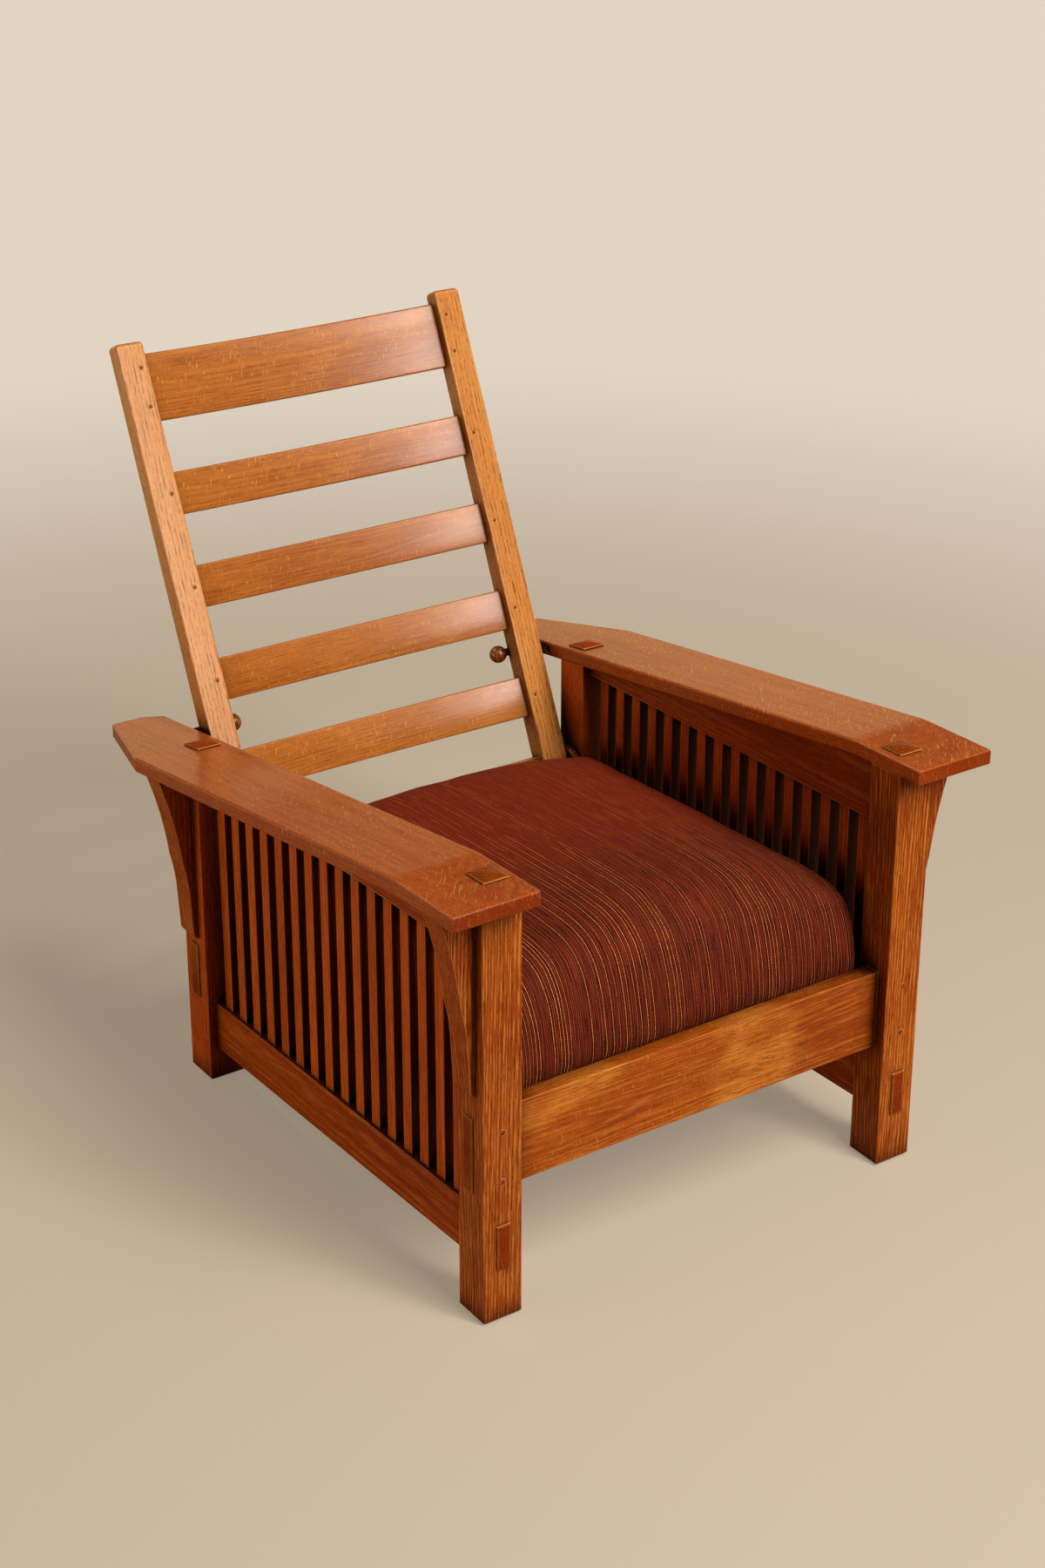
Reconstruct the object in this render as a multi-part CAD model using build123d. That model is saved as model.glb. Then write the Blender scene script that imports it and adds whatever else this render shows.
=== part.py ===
from build123d import *
import math
import os

# Reclining oak armchair with slatted sides, sizes in millimetres and degrees.
# Everything is drawn square to the side frames first, with x across the chair, y from the front
# legs to the rear and z up, and zero at the front feet's front edge. The rear legs are cut shorter,
# so the finished chair is then leaned back until all four feet are flat on the floor.
# Left and right are the sitter's: the left side is at +X.

# Whole frame
FRAME_WIDTH = 720.0
FRAME_DEPTH = 753.5
LEAN = 2.096
CUTTER_SPARE = 60.0

# Legs
LEG_WIDTH = 58.5
LEG_DEPTH = 56.0
LEG_EDGE_RADIUS = 1.6
FOOT_CHAMFER = 4.0
LEG_TENON_WIDTH = 37.0
LEG_TENON_DEPTH = 38.0
LEG_TENON_FRONT_SHOULDER = 12.2
TENON_SIDE_PROUD = 2.4
TENON_PEAK_RISE = 3.8
TENON_PEAK_SHARE = 0.08

# Arms
ARM_TOP = 614.8
ARM_THICKNESS = 21.0
ARM_WIDTH = 127.0
ARM_INNER_OVERHANG = 1.0
ARM_FRONT_OVERHANG = 38.0
ARM_BEND_FROM_FRONT = 90.2
ARM_BEND_RADIUS = 160.0
ARM_SLOPE = 6.86
ARM_REAR_OVERHANG = 163.0
ARM_REAR_CLIP_WIDTH = 52.5
ARM_REAR_CLIP_LENGTH = 169.5
ARM_INNER_CLIP_WIDTH = 27.0
ARM_INNER_CLIP_LENGTH = 21.0
ARM_EDGE_RADIUS = 3.0
ARM_SEAM_MARGIN = 0.8

# Side rails and spindles
SIDE_RAIL_THICKNESS = 29.0
SIDE_RAIL_BOTTOM = 74.8
SIDE_RAIL_HEIGHT = 74.7
SIDE_TENON_THICKNESS = 21.0
SIDE_TENON_LOWER_SHOULDER = 2.6
SIDE_TENON_UPPER_SHOULDER = 6.4
APRON_BOTTOM = 503.9
APRON_TENON_LENGTH = 26.0
APRON_TENON_THICKNESS = 12.0
APRON_TENON_SHOULDER = 3.0
RAIL_EDGE_RADIUS = 1.5
SPINDLE_COUNT = 16
SPINDLE_WIDTH = 18.5
SPINDLE_THICKNESS = 20.0
SPINDLE_HOUSING = 8.0
SPINDLE_EDGE_RADIUS = 1.0

# Front and rear rails
CROSS_RAIL_THICKNESS = 25.0
FRONT_RAIL_SET_BACK = 18.5
FRONT_RAIL_BOTTOM = 183.0
FRONT_RAIL_HEIGHT = 115.0
FRONT_TENON_SHOULDER = 3.5
REAR_RAIL_SET_BACK = 15.5
REAR_RAIL_BOTTOM = 150.0
REAR_RAIL_HEIGHT = 96.0
REAR_TENON_SHOULDER = 6.0
CROSS_TENON_THICKNESS = 20.0
TENON_END_PROUD = 3.0
TENON_END_CHAMFER = 1.5

# Pegs through the rails' tenons
PEG_DIAMETER = 9.0
PEG_LENGTH = 44.0
PEG_PROUD = 0.8
PEG_END_CHAMFER = 0.4
PEG_FROM_RAIL_EDGE = 22.0

# Corbels under the arms, on the legs' outer faces
CORBEL_THICKNESS = 38.0
CORBEL_REAR_SET = 7.0
CORBEL_HEIGHT = 266.0
CORBEL_TOP_DEPTH = 54.0
CORBEL_WAIST_DEPTH = 20.0
CORBEL_WAIST_DROP = 140.0
CORBEL_TAIL_DEPTH = 11.5
CORBEL_TAIL_DROP = 190.0
CORBEL_TOE_DEPTH = 8.0
CORBEL_TOE_RISE = 13.0
CORBEL_TOE_OUT_SHARE = 0.75
CORBEL_TOE_UP_SHARE = 0.35
CORBEL_HOLLOW = 4.5
CORBEL_TAIL_HOLLOW = 1.2

# Back frame, measured along and behind the line through its hinge pins
RECLINE = 23.53
HINGE_HEIGHT = 343.7
BACK_TO_LEG_GAP = 13.2
STILE_WIDTH = 42.2
STILE_LENGTH_ABOVE_HINGE = 749.0
STILE_LENGTH_BELOW_HINGE = 17.0
STILE_FRONT_FROM_HINGE = 18.7
STILE_DEPTH_AT_HINGE = 33.0
STILE_DEPTH_AT_TOP = 25.6
STILE_TOP_RADIUS = 6.0
STILE_FOOT_RADIUS = 11.0
STILE_EDGE_RADIUS = 1.8
SLAT_SET_BACK = 13.0
SLAT_THICKNESS = 12.0
SLAT_BOW = 21.0
TOP_SLAT_DROP = 17.0
TOP_SLAT_HEIGHT = 96.4
SLAT_HEIGHT = 60.8
SLATS_ABOVE_PIN = 3
SLAT_FROM_PIN = 33.6172
LOWEST_SLAT_SHARE = 0.568282
SLAT_TENON_LENGTH = 25.0
SLAT_TENON_THICKNESS = 8.0
SLAT_TENON_SHOULDER = 5.0
BOTTOM_RAIL_HEIGHT = 63.0
BOTTOM_RAIL_THICKNESS = 18.0
BOTTOM_RAIL_TENON_LENGTH = 14.0
BOTTOM_RAIL_EDGE_RADIUS = 1.8
BACK_PEG_DIAMETER = 6.4
BACK_PEG_LENGTH = 24.0
BACK_PEG_FROM_JOINT = 11.5
TOP_SLAT_PEG_SPACING = 56.0
BOTTOM_RAIL_PEG_RISE = 20.0
BOTTOM_PEG_FROM_JOINT = 8.0

# Hinge pins and their spacer discs
HINGE_PIN_DIAMETER = 12.7
HINGE_PIN_IN_STILE = 24.0
HINGE_PIN_END_GAP = 2.0
RUNNING_CLEARANCE = 0.06
SPACER_RADIUS = 39.5
SPACER_EDGE_RADIUS = 4.0
MOVING_GAP = 0.4

# Adjusting pins with turned ball heads, and their row of holes in each arm
ADJUSTING_PIN_DIAMETER = 12.0
ADJUSTING_PIN_IN_ARM = 40.0
ADJUSTING_PIN_END_CHAMFER = 1.5
ADJUSTING_HOLE_SPARE = 5.0
ADJUSTING_HOLE_PITCH = 35.0
HOLES_AHEAD_OF_PIN = 1
HOLES_BEHIND_PIN = 2
BALL_RADIUS = 13.3
BALL_GAP_TO_STILE = 0.5
BACK_REST_GAP = 0.3

# Cleats and the drop-in seat frame
CLEAT_THICKNESS = 20.0
CLEAT_HEIGHT = 38.0
CLEAT_END_GAP = 4.0
SEAT_TOP_AT_FRONT = 275.0
SEAT_SLOPE = 2.1
SEAT_CLEARANCE = 2.6
SEAT_SIDE_CLEARANCE = 2.5
SEAT_BAR_WIDTH = 45.0
SEAT_BAR_THICKNESS = 22.0
SEAT_TENON_LENGTH = 20.0
SEAT_TENON_THICKNESS = 9.0
SEAT_TENON_SHOULDER = 7.0
SEAT_SLAT_COUNT = 7
SEAT_SLAT_WIDTH = 58.0
SEAT_SLAT_THICKNESS = 12.0
SEAT_SLAT_INSET = 4.0
SEAT_SLAT_END_INSET = 2.0

# Wood screws in the cleats and the seat slats
SCREW_SHANK_DIAMETER = 4.0
SCREW_HEAD_DIAMETER = 8.0
SCREW_HEAD_HEIGHT = 2.4
CLEAT_SCREW_LENGTH = 38.0
CLEAT_SCREW_COUNT = 5
CLEAT_SCREW_END_INSET = 45.0
CLEAT_SCREW_FROM_BOTTOM = 15.0
SLAT_SCREW_LENGTH = 28.0

# Loose seat cushion
CUSHION_SIDE_GAP = 3.5
CUSHION_FRONT_GAP = 0.4
CUSHION_TO_HINGE = 43.0
CUSHION_UNDERSIDE_GAP = 0.3
CUSHION_SIDE_HEIGHT = 140.0
CUSHION_CROWN = 44.0
CUSHION_CORNER_SHARE = 0.94
CUSHION_FOOT_SHARE = 0.965
CUSHION_BULGE_SHARE = 0.42
# Along the depth: place, then width, side height and crown, all as shares
CUSHION_STATION_SHARES = [
    (0.000, 0.950, 0.62, 0.70),
    (0.020, 0.978, 0.78, 0.80),
    (0.060, 0.992, 0.88, 0.88),
    (0.200, 1.000, 0.96, 0.97),
    (0.450, 1.000, 1.00, 1.00),
    (0.740, 1.000, 1.00, 1.00),
    (0.900, 0.992, 0.94, 1.00),
    (0.965, 0.972, 0.84, 0.90),
    (1.000, 0.940, 0.62, 0.70),
]

# Places worked out from the sizes
LEG_OUTER = FRAME_WIDTH / 2
LEG_INNER = LEG_OUTER - LEG_WIDTH
LEG_MIDDLE = LEG_OUTER - LEG_WIDTH / 2
REAR_LEG_FRONT = FRAME_DEPTH - LEG_DEPTH
ARM_INNER = LEG_INNER - ARM_INNER_OVERHANG
ARM_OUTER = ARM_INNER + ARM_WIDTH
ARM_REAR = FRAME_DEPTH + ARM_REAR_OVERHANG
FRONT_RAIL_REAR = FRONT_RAIL_SET_BACK + CROSS_RAIL_THICKNESS
REAR_RAIL_FRONT = REAR_LEG_FRONT + REAR_RAIL_SET_BACK
HINGE_Y = FRAME_DEPTH - LEG_DEPTH / 2
STILE_OUTER = LEG_INNER - BACK_TO_LEG_GAP
STILE_INNER = STILE_OUTER - STILE_WIDTH
STILE_TAPER = (STILE_DEPTH_AT_HINGE - STILE_DEPTH_AT_TOP) / STILE_LENGTH_ABOVE_HINGE
ADJUSTING_PIN_RADIUS = ADJUSTING_PIN_DIAMETER / 2
CUSHION_HALF_WIDTH = LEG_INNER - CUSHION_SIDE_GAP
CUSHION_DEPTH = HINGE_Y - FRONT_RAIL_REAR - CUSHION_TO_HINGE


def block(x, y, z):
    """A box between two limits along each axis."""
    middle = Pos((x[0] + x[1]) / 2, (y[0] + y[1]) / 2, (z[0] + z[1]) / 2)
    return middle * Box(x[1] - x[0], y[1] - y[0], z[1] - z[0])


def rod(diameter, x, y, z):
    """A round bar along x, between two limits, at one height and depth."""
    turn = Pos((x[0] + x[1]) / 2, y, z) * Rot(Y=90)
    return turn * Cylinder(diameter / 2, x[1] - x[0])


def mirrored(shape):
    return mirror(shape, about=Plane.YZ)


def ease(shape, axis, radius):
    """Rounds the long edges that run along one axis."""
    return fillet(shape.edges().filter_by(axis), radius)


def arm_slope_rise():
    return math.tan(math.radians(ARM_SLOPE))


def arm_top_height(y):
    return ARM_TOP - max(0.0, y - ARM_BEND_FROM_FRONT) * arm_slope_rise()


def arm_curve(depth):
    """Key points of a line at one depth under the arm's top: front, bend start, middle, end, rear."""
    angle = math.radians(ARM_SLOPE)
    start_y = ARM_BEND_FROM_FRONT - ARM_BEND_RADIUS * math.tan(angle / 2)
    centre_z = ARM_TOP - ARM_BEND_RADIUS
    radius = ARM_BEND_RADIUS - depth

    def on_bend(share):
        turn = angle * share
        return (start_y + radius * math.sin(turn), centre_z + radius * math.cos(turn))

    end = on_bend(1)
    run = ARM_REAR + CUTTER_SPARE - end[0]
    rear = (end[0] + run, end[1] - run * arm_slope_rise())
    front = (-ARM_FRONT_OVERHANG - CUTTER_SPARE, ARM_TOP - depth)
    return front, on_bend(0), on_bend(0.5), end, rear


def across(points, width):
    """A closed outline in y and z, made solid from x = zero to one width."""
    face = make_face(points)
    return extrude(Plane.YZ * face, amount=width)


def arm_board():
    top = arm_curve(0)
    under = arm_curve(ARM_THICKNESS)
    edge = [
        Line(top[0], top[1]),
        ThreePointArc(top[1], top[2], top[3]),
        Line(top[3], top[4]),
        Line(top[4], under[4]),
        Line(under[4], under[3]),
        ThreePointArc(under[3], under[2], under[1]),
        Line(under[1], under[0]),
        Line(under[0], top[0]),
    ]
    return across(edge, ARM_OUTER + CUTTER_SPARE)


def under_arm():
    """Everything below the arm's underside, which trims the legs, aprons and corbels."""
    under = arm_curve(ARM_THICKNESS)
    low = -CUTTER_SPARE
    edge = [
        Line(under[0], under[1]),
        ThreePointArc(under[1], under[2], under[3]),
        Line(under[3], under[4]),
        Line(under[4], (under[4][0], low)),
        Line((under[4][0], low), (under[0][0], low)),
        Line((under[0][0], low), under[0]),
    ]
    return across(edge, ARM_OUTER + CUTTER_SPARE)


def below_floor():
    """The floor's side of the plane that all four feet are cut to."""
    floor = Box(FRAME_WIDTH * 2, FRAME_DEPTH * 2, CUTTER_SPARE * 2)
    return Rot(X=LEAN) * Pos(0, FRAME_DEPTH / 2, -CUTTER_SPARE) * floor


def leg_tenon(leg_front):
    """The leg's top tenon, through the arm, with a low four-sided peak."""
    y0 = leg_front + LEG_TENON_FRONT_SHOULDER
    middle = y0 + LEG_TENON_DEPTH / 2
    tilt = ARM_SLOPE if middle > ARM_BEND_FROM_FRONT else 0
    half = LEG_TENON_WIDTH / 2
    bottom = arm_top_height(middle) - ARM_THICKNESS - LEG_TENON_WIDTH
    top = arm_top_height(middle) + TENON_SIDE_PROUD
    stem = block(
        (LEG_MIDDLE - half, LEG_MIDDLE + half),
        (y0, y0 + LEG_TENON_DEPTH),
        (bottom, top + ARM_THICKNESS),
    )
    surface = Pos(LEG_MIDDLE, middle, top) * Rot(X=-tilt)
    above = surface * Pos(0, 0, CUTTER_SPARE) * Box(
        LEG_WIDTH * 2, LEG_DEPTH * 2, CUTTER_SPARE * 2
    )
    depth = LEG_TENON_DEPTH / math.cos(math.radians(tilt))
    base = Rectangle(LEG_TENON_WIDTH, depth)
    peak = Pos(0, 0, TENON_PEAK_RISE) * Rectangle(
        LEG_TENON_WIDTH * TENON_PEAK_SHARE, depth * TENON_PEAK_SHARE
    )
    return (stem - above) + surface * loft([base, peak])


def leg(leg_front):
    post = block(
        (LEG_INNER, LEG_OUTER),
        (leg_front, leg_front + LEG_DEPTH),
        (-CUTTER_SPARE, ARM_TOP),
    )
    post = (post & under_arm()) - below_floor()
    foot = post.faces().sort_by(Axis.Z)[0]
    post = chamfer(foot.edges(), FOOT_CHAMFER)
    return ease(post, Axis.Z, LEG_EDGE_RADIUS) + leg_tenon(leg_front)


def tenon_end(tenon, axis):
    """Chamfers both ends of a through tenon."""
    ends = tenon.faces().filter_by(axis)
    return chamfer(ends.edges(), TENON_END_CHAMFER)


def lower_side_rail():
    half = SIDE_RAIL_THICKNESS / 2
    top = SIDE_RAIL_BOTTOM + SIDE_RAIL_HEIGHT
    rail = block(
        (LEG_MIDDLE - half, LEG_MIDDLE + half),
        (LEG_DEPTH, REAR_LEG_FRONT),
        (SIDE_RAIL_BOTTOM, top),
    )
    rail = ease(rail, Axis.Y, RAIL_EDGE_RADIUS)
    tenon_half = SIDE_TENON_THICKNESS / 2
    tenon = block(
        (LEG_MIDDLE - tenon_half, LEG_MIDDLE + tenon_half),
        (-TENON_END_PROUD, FRAME_DEPTH + TENON_END_PROUD),
        (SIDE_RAIL_BOTTOM + SIDE_TENON_LOWER_SHOULDER, top - SIDE_TENON_UPPER_SHOULDER),
    )
    return rail + tenon_end(tenon, Axis.Y)


def apron():
    """The upper side rail, level below and cut to the arm's underside above."""
    half = SIDE_RAIL_THICKNESS / 2
    board = block(
        (LEG_MIDDLE - half, LEG_MIDDLE + half),
        (LEG_DEPTH, REAR_LEG_FRONT),
        (APRON_BOTTOM, ARM_TOP),
    )
    tenon_half = APRON_TENON_THICKNESS / 2
    tenon = block(
        (LEG_MIDDLE - tenon_half, LEG_MIDDLE + tenon_half),
        (LEG_DEPTH - APRON_TENON_LENGTH, REAR_LEG_FRONT + APRON_TENON_LENGTH),
        (APRON_BOTTOM + APRON_TENON_SHOULDER, ARM_TOP),
    )
    trim = under_arm()
    return (board & trim) + (tenon & Pos(0, 0, -APRON_TENON_SHOULDER) * trim)


def spindle_places():
    room = REAR_LEG_FRONT - LEG_DEPTH - SPINDLE_COUNT * SPINDLE_WIDTH
    gap = room / (SPINDLE_COUNT + 1)
    first = LEG_DEPTH + gap + SPINDLE_WIDTH / 2
    return [first + index * (gap + SPINDLE_WIDTH) for index in range(SPINDLE_COUNT)]


def spindle(y):
    half = SPINDLE_THICKNESS / 2
    bar = block(
        (LEG_MIDDLE - half, LEG_MIDDLE + half),
        (y - SPINDLE_WIDTH / 2, y + SPINDLE_WIDTH / 2),
        (SIDE_RAIL_BOTTOM + SIDE_RAIL_HEIGHT - SPINDLE_HOUSING, APRON_BOTTOM + SPINDLE_HOUSING),
    )
    return ease(bar, Axis.Z, SPINDLE_EDGE_RADIUS)


def arm():
    clip_y = ARM_REAR - ARM_REAR_CLIP_LENGTH
    outline = [
        (ARM_INNER, -ARM_FRONT_OVERHANG),
        (ARM_OUTER, -ARM_FRONT_OVERHANG),
        (ARM_OUTER, clip_y),
        (ARM_OUTER - ARM_REAR_CLIP_WIDTH, ARM_REAR),
        (ARM_INNER + ARM_INNER_CLIP_WIDTH, ARM_REAR),
        (ARM_INNER, ARM_REAR - ARM_INNER_CLIP_LENGTH),
    ]
    plan = extrude(make_face(Polyline(*outline, close=True)), amount=ARM_TOP + CUTTER_SPARE)
    board = arm_board() & plan
    bend = [arm_curve(depth)[place][0] for depth in (0, ARM_THICKNESS) for place in (1, 3)]
    crossing = board.edges().filter_by(Axis.X)
    seams = [edge for edge in crossing if min(bend) - ARM_SEAM_MARGIN < edge.center().Y < max(bend) + ARM_SEAM_MARGIN]
    outer = [edge for edge in board.edges() if edge not in seams]
    return fillet(outer, ARM_EDGE_RADIUS)


def cross_rail(rail_front, bottom, height, shoulder):
    """A front or rear rail between the legs, its tenons through to their outer faces."""
    rear = rail_front + CROSS_RAIL_THICKNESS
    rail = block((-LEG_INNER, LEG_INNER), (rail_front, rear), (bottom, bottom + height))
    rail = ease(rail, Axis.X, RAIL_EDGE_RADIUS)
    inset = (CROSS_RAIL_THICKNESS - CROSS_TENON_THICKNESS) / 2
    reach = LEG_OUTER + TENON_END_PROUD
    tenon = block(
        (-reach, reach),
        (rail_front + inset, rear - inset),
        (bottom + shoulder, bottom + height - shoulder),
    )
    return rail + tenon_end(tenon, Axis.X)


def rail_pegs(face, inward, bottom, height):
    """Two round pegs in each leg, driven from one face through a rail's tenon."""
    pegs = []
    start = face - inward * PEG_PROUD
    middle = start + inward * PEG_LENGTH / 2
    for x in (-LEG_MIDDLE, LEG_MIDDLE):
        for z in (bottom + PEG_FROM_RAIL_EDGE, bottom + height - PEG_FROM_RAIL_EDGE):
            peg = Pos(x, middle, z) * Rot(X=90) * Cylinder(PEG_DIAMETER / 2, PEG_LENGTH)
            pegs.append(chamfer(peg.edges(), PEG_END_CHAMFER))
    return pegs


def corbel(leg_front):
    """A hollow-curved bracket on the leg's outer face, its top cut to the arm's underside."""
    middle = leg_front + LEG_DEPTH / 2 + CORBEL_REAR_SET
    top = arm_top_height(middle) - ARM_THICKNESS
    tip = top - CORBEL_HEIGHT
    over = top + CORBEL_THICKNESS

    def at(depth, drop):
        return (LEG_OUTER + depth, top - drop)

    upper_middle = (
        (CORBEL_TOP_DEPTH + CORBEL_WAIST_DEPTH) / 2 - CORBEL_HOLLOW,
        CORBEL_WAIST_DROP / 2,
    )
    lower_middle = (
        (CORBEL_WAIST_DEPTH + CORBEL_TAIL_DEPTH) / 2 - CORBEL_TAIL_HOLLOW,
        (CORBEL_WAIST_DROP + CORBEL_TAIL_DROP) / 2,
    )
    toe_drop = CORBEL_HEIGHT - CORBEL_TOE_RISE
    toe_middle = (
        CORBEL_TOE_DEPTH * CORBEL_TOE_OUT_SHARE,
        CORBEL_HEIGHT - CORBEL_TOE_RISE * CORBEL_TOE_UP_SHARE,
    )
    edge = [
        Line((LEG_OUTER, tip), (LEG_OUTER, over)),
        Line((LEG_OUTER, over), (LEG_OUTER + CORBEL_TOP_DEPTH, over)),
        Line((LEG_OUTER + CORBEL_TOP_DEPTH, over), at(CORBEL_TOP_DEPTH, 0)),
        ThreePointArc(at(CORBEL_TOP_DEPTH, 0), at(*upper_middle), at(CORBEL_WAIST_DEPTH, CORBEL_WAIST_DROP)),
        ThreePointArc(
            at(CORBEL_WAIST_DEPTH, CORBEL_WAIST_DROP),
            at(*lower_middle),
            at(CORBEL_TAIL_DEPTH, CORBEL_TAIL_DROP),
        ),
        Line(at(CORBEL_TAIL_DEPTH, CORBEL_TAIL_DROP), at(CORBEL_TOE_DEPTH, toe_drop)),
        ThreePointArc(at(CORBEL_TOE_DEPTH, toe_drop), at(*toe_middle), (LEG_OUTER, tip)),
    ]
    face = Plane.XZ.offset(-middle) * make_face(edge)
    bracket = extrude(face, amount=CORBEL_THICKNESS / 2, both=True)
    return bracket & under_arm()


def stile_rear(height):
    """How far behind the hinge line the stile's rear face is, at one height above it."""
    return STILE_DEPTH_AT_HINGE - STILE_FRONT_FROM_HINGE - STILE_TAPER * height


def reclined(shape):
    """Turns a piece drawn upright about the hinge line to the back's angle."""
    return Pos(0, HINGE_Y, HINGE_HEIGHT) * Rot(X=-RECLINE) * shape


def stile():
    low = -STILE_LENGTH_BELOW_HINGE
    high = STILE_LENGTH_ABOVE_HINGE
    corners = [
        (-STILE_FRONT_FROM_HINGE, low),
        (stile_rear(low), low),
        (stile_rear(high), high),
        (-STILE_FRONT_FROM_HINGE, high),
    ]
    outline = make_face(Polyline(*corners, close=True))
    bar = extrude(Plane.YZ.offset(STILE_INNER) * outline, amount=STILE_WIDTH)
    long_edges = [edge for edge in bar.edges() if edge.length > STILE_LENGTH_ABOVE_HINGE]
    bar = fillet(long_edges, STILE_EDGE_RADIUS)
    bar = fillet(bar.edges().filter_by(Axis.X).group_by(Axis.Z)[0], STILE_FOOT_RADIUS)
    return fillet(bar.faces().sort_by(Axis.Z)[-1].edges(), STILE_TOP_RADIUS)


def slat_spans():
    """Bottom and top of each bowed slat above the hinge line, from the top slat down."""
    top = STILE_LENGTH_ABOVE_HINGE - TOP_SLAT_DROP
    spans = [(top - TOP_SLAT_HEIGHT, top)]
    # The row between the top slat and the adjusting pins is spread evenly
    pin = adjusting_pin_on_stile()
    room = spans[0][0] - pin - SLAT_FROM_PIN - SLATS_ABOVE_PIN * SLAT_HEIGHT
    for _ in range(SLATS_ABOVE_PIN):
        top = spans[-1][0] - room / SLATS_ABOVE_PIN
        spans.append((top - SLAT_HEIGHT, top))
    rail_top = BOTTOM_RAIL_HEIGHT / 2
    middle = rail_top + LOWEST_SLAT_SHARE * (pin - rail_top)
    spans.append((middle - SLAT_HEIGHT / 2, middle + SLAT_HEIGHT / 2))
    return spans


def slat_front():
    return SLAT_SET_BACK - STILE_FRONT_FROM_HINGE


def bowed_slat(bottom, top):
    """A slat bent backwards between the stiles, with a stub tenon at each end."""
    front = slat_front()
    rear = front + SLAT_THICKNESS
    edge = [
        ThreePointArc((-STILE_INNER, front), (0, front + SLAT_BOW), (STILE_INNER, front)),
        Line((STILE_INNER, front), (STILE_INNER, rear)),
        ThreePointArc((STILE_INNER, rear), (0, rear + SLAT_BOW), (-STILE_INNER, rear)),
        Line((-STILE_INNER, rear), (-STILE_INNER, front)),
    ]
    board = Pos(0, 0, bottom) * extrude(make_face(edge), amount=top - bottom)
    inset = (SLAT_THICKNESS - SLAT_TENON_THICKNESS) / 2
    reach = STILE_INNER + SLAT_TENON_LENGTH
    height = (bottom + SLAT_TENON_SHOULDER, top - SLAT_TENON_SHOULDER)
    tenon = block((STILE_INNER - inset, reach), (front + inset, rear - inset), height)
    return board + tenon + mirrored(tenon)


def bottom_rail():
    front = slat_front()
    rear = front + BOTTOM_RAIL_THICKNESS
    half = BOTTOM_RAIL_HEIGHT / 2
    rail = block((-STILE_INNER, STILE_INNER), (front, rear), (-half, half))
    rail = ease(rail, Axis.X, BOTTOM_RAIL_EDGE_RADIUS)
    inset = (BOTTOM_RAIL_THICKNESS - SLAT_TENON_THICKNESS) / 2
    reach = STILE_INNER + BOTTOM_RAIL_TENON_LENGTH
    tenon_low = -STILE_LENGTH_BELOW_HINGE + STILE_FOOT_RADIUS
    tenon = block(
        (-reach, reach),
        (front + inset, rear - inset),
        (tenon_low, half - SLAT_TENON_SHOULDER),
    )
    return rail + tenon


def back_peg(x, height):
    """A small peg from the stile's front face through a slat's tenon."""
    middle = BACK_PEG_LENGTH / 2 - STILE_FRONT_FROM_HINGE - PEG_PROUD / 2
    peg = Pos(x, middle, height) * Rot(X=90) * Cylinder(BACK_PEG_DIAMETER / 2, BACK_PEG_LENGTH)
    return chamfer(peg.edges(), PEG_END_CHAMFER)


def back_pegs():
    x = STILE_INNER + BACK_PEG_FROM_JOINT
    spans = slat_spans()
    top_middle = sum(spans[0]) / 2
    heights = [top_middle + TOP_SLAT_PEG_SPACING / 2, top_middle - TOP_SLAT_PEG_SPACING / 2]
    heights += [sum(span) / 2 for span in spans[1:]]
    pegs = [back_peg(x, height) for height in heights]
    pegs.append(back_peg(STILE_INNER + BOTTOM_PEG_FROM_JOINT, BOTTOM_RAIL_PEG_RISE))
    return pegs


def hinge_pin(clearance):
    """A round pin fixed in the stile and turning in the spacer and the leg."""
    reach = (STILE_OUTER - HINGE_PIN_IN_STILE, LEG_OUTER - HINGE_PIN_END_GAP)
    if clearance:
        reach = (reach[0], LEG_OUTER)
    return rod(HINGE_PIN_DIAMETER + clearance * 2, reach, HINGE_Y, HINGE_HEIGHT)


def hinge_spacer():
    disc = rod(SPACER_RADIUS * 2, (STILE_OUTER + MOVING_GAP, LEG_INNER), HINGE_Y, HINGE_HEIGHT)
    disc = fillet(disc.edges(), SPACER_EDGE_RADIUS)
    return disc - hinge_pin(RUNNING_CLEARANCE)


def adjusting_pin_seat():
    """Where the pin's centre is when it lies in the arm's edge and touches the reclined stile."""
    angle = math.radians(RECLINE)
    # The pin's centre is this far behind the stile's rear face, square to that face
    reach = (ADJUSTING_PIN_RADIUS + BACK_REST_GAP) * math.hypot(1, STILE_TAPER)
    rear_at_hinge = stile_rear(0)
    # The arm's middle line is z = arm_zero - rise * y
    rise = arm_slope_rise()
    half_thickness = ARM_THICKNESS / 2 / math.cos(math.radians(ARM_SLOPE))
    arm_zero = ARM_TOP + rise * ARM_BEND_FROM_FRONT - half_thickness
    # Behind and above the hinge: n = dy cos - dz sin, s = dy sin + dz cos, n + taper * s = rear + reach
    per_y = math.cos(angle) + STILE_TAPER * math.sin(angle)
    per_z = STILE_TAPER * math.cos(angle) - math.sin(angle)
    target = rear_at_hinge + reach
    y = (target + per_y * HINGE_Y - per_z * (arm_zero - HINGE_HEIGHT)) / (per_y - per_z * rise)
    return y, arm_zero - rise * y


def adjusting_pin_on_stile():
    """How far above the hinge line the pins touch the stiles, measured along them."""
    y, z = adjusting_pin_seat()
    angle = math.radians(RECLINE)
    return (y - HINGE_Y) * math.sin(angle) + (z - HINGE_HEIGHT) * math.cos(angle)


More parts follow.
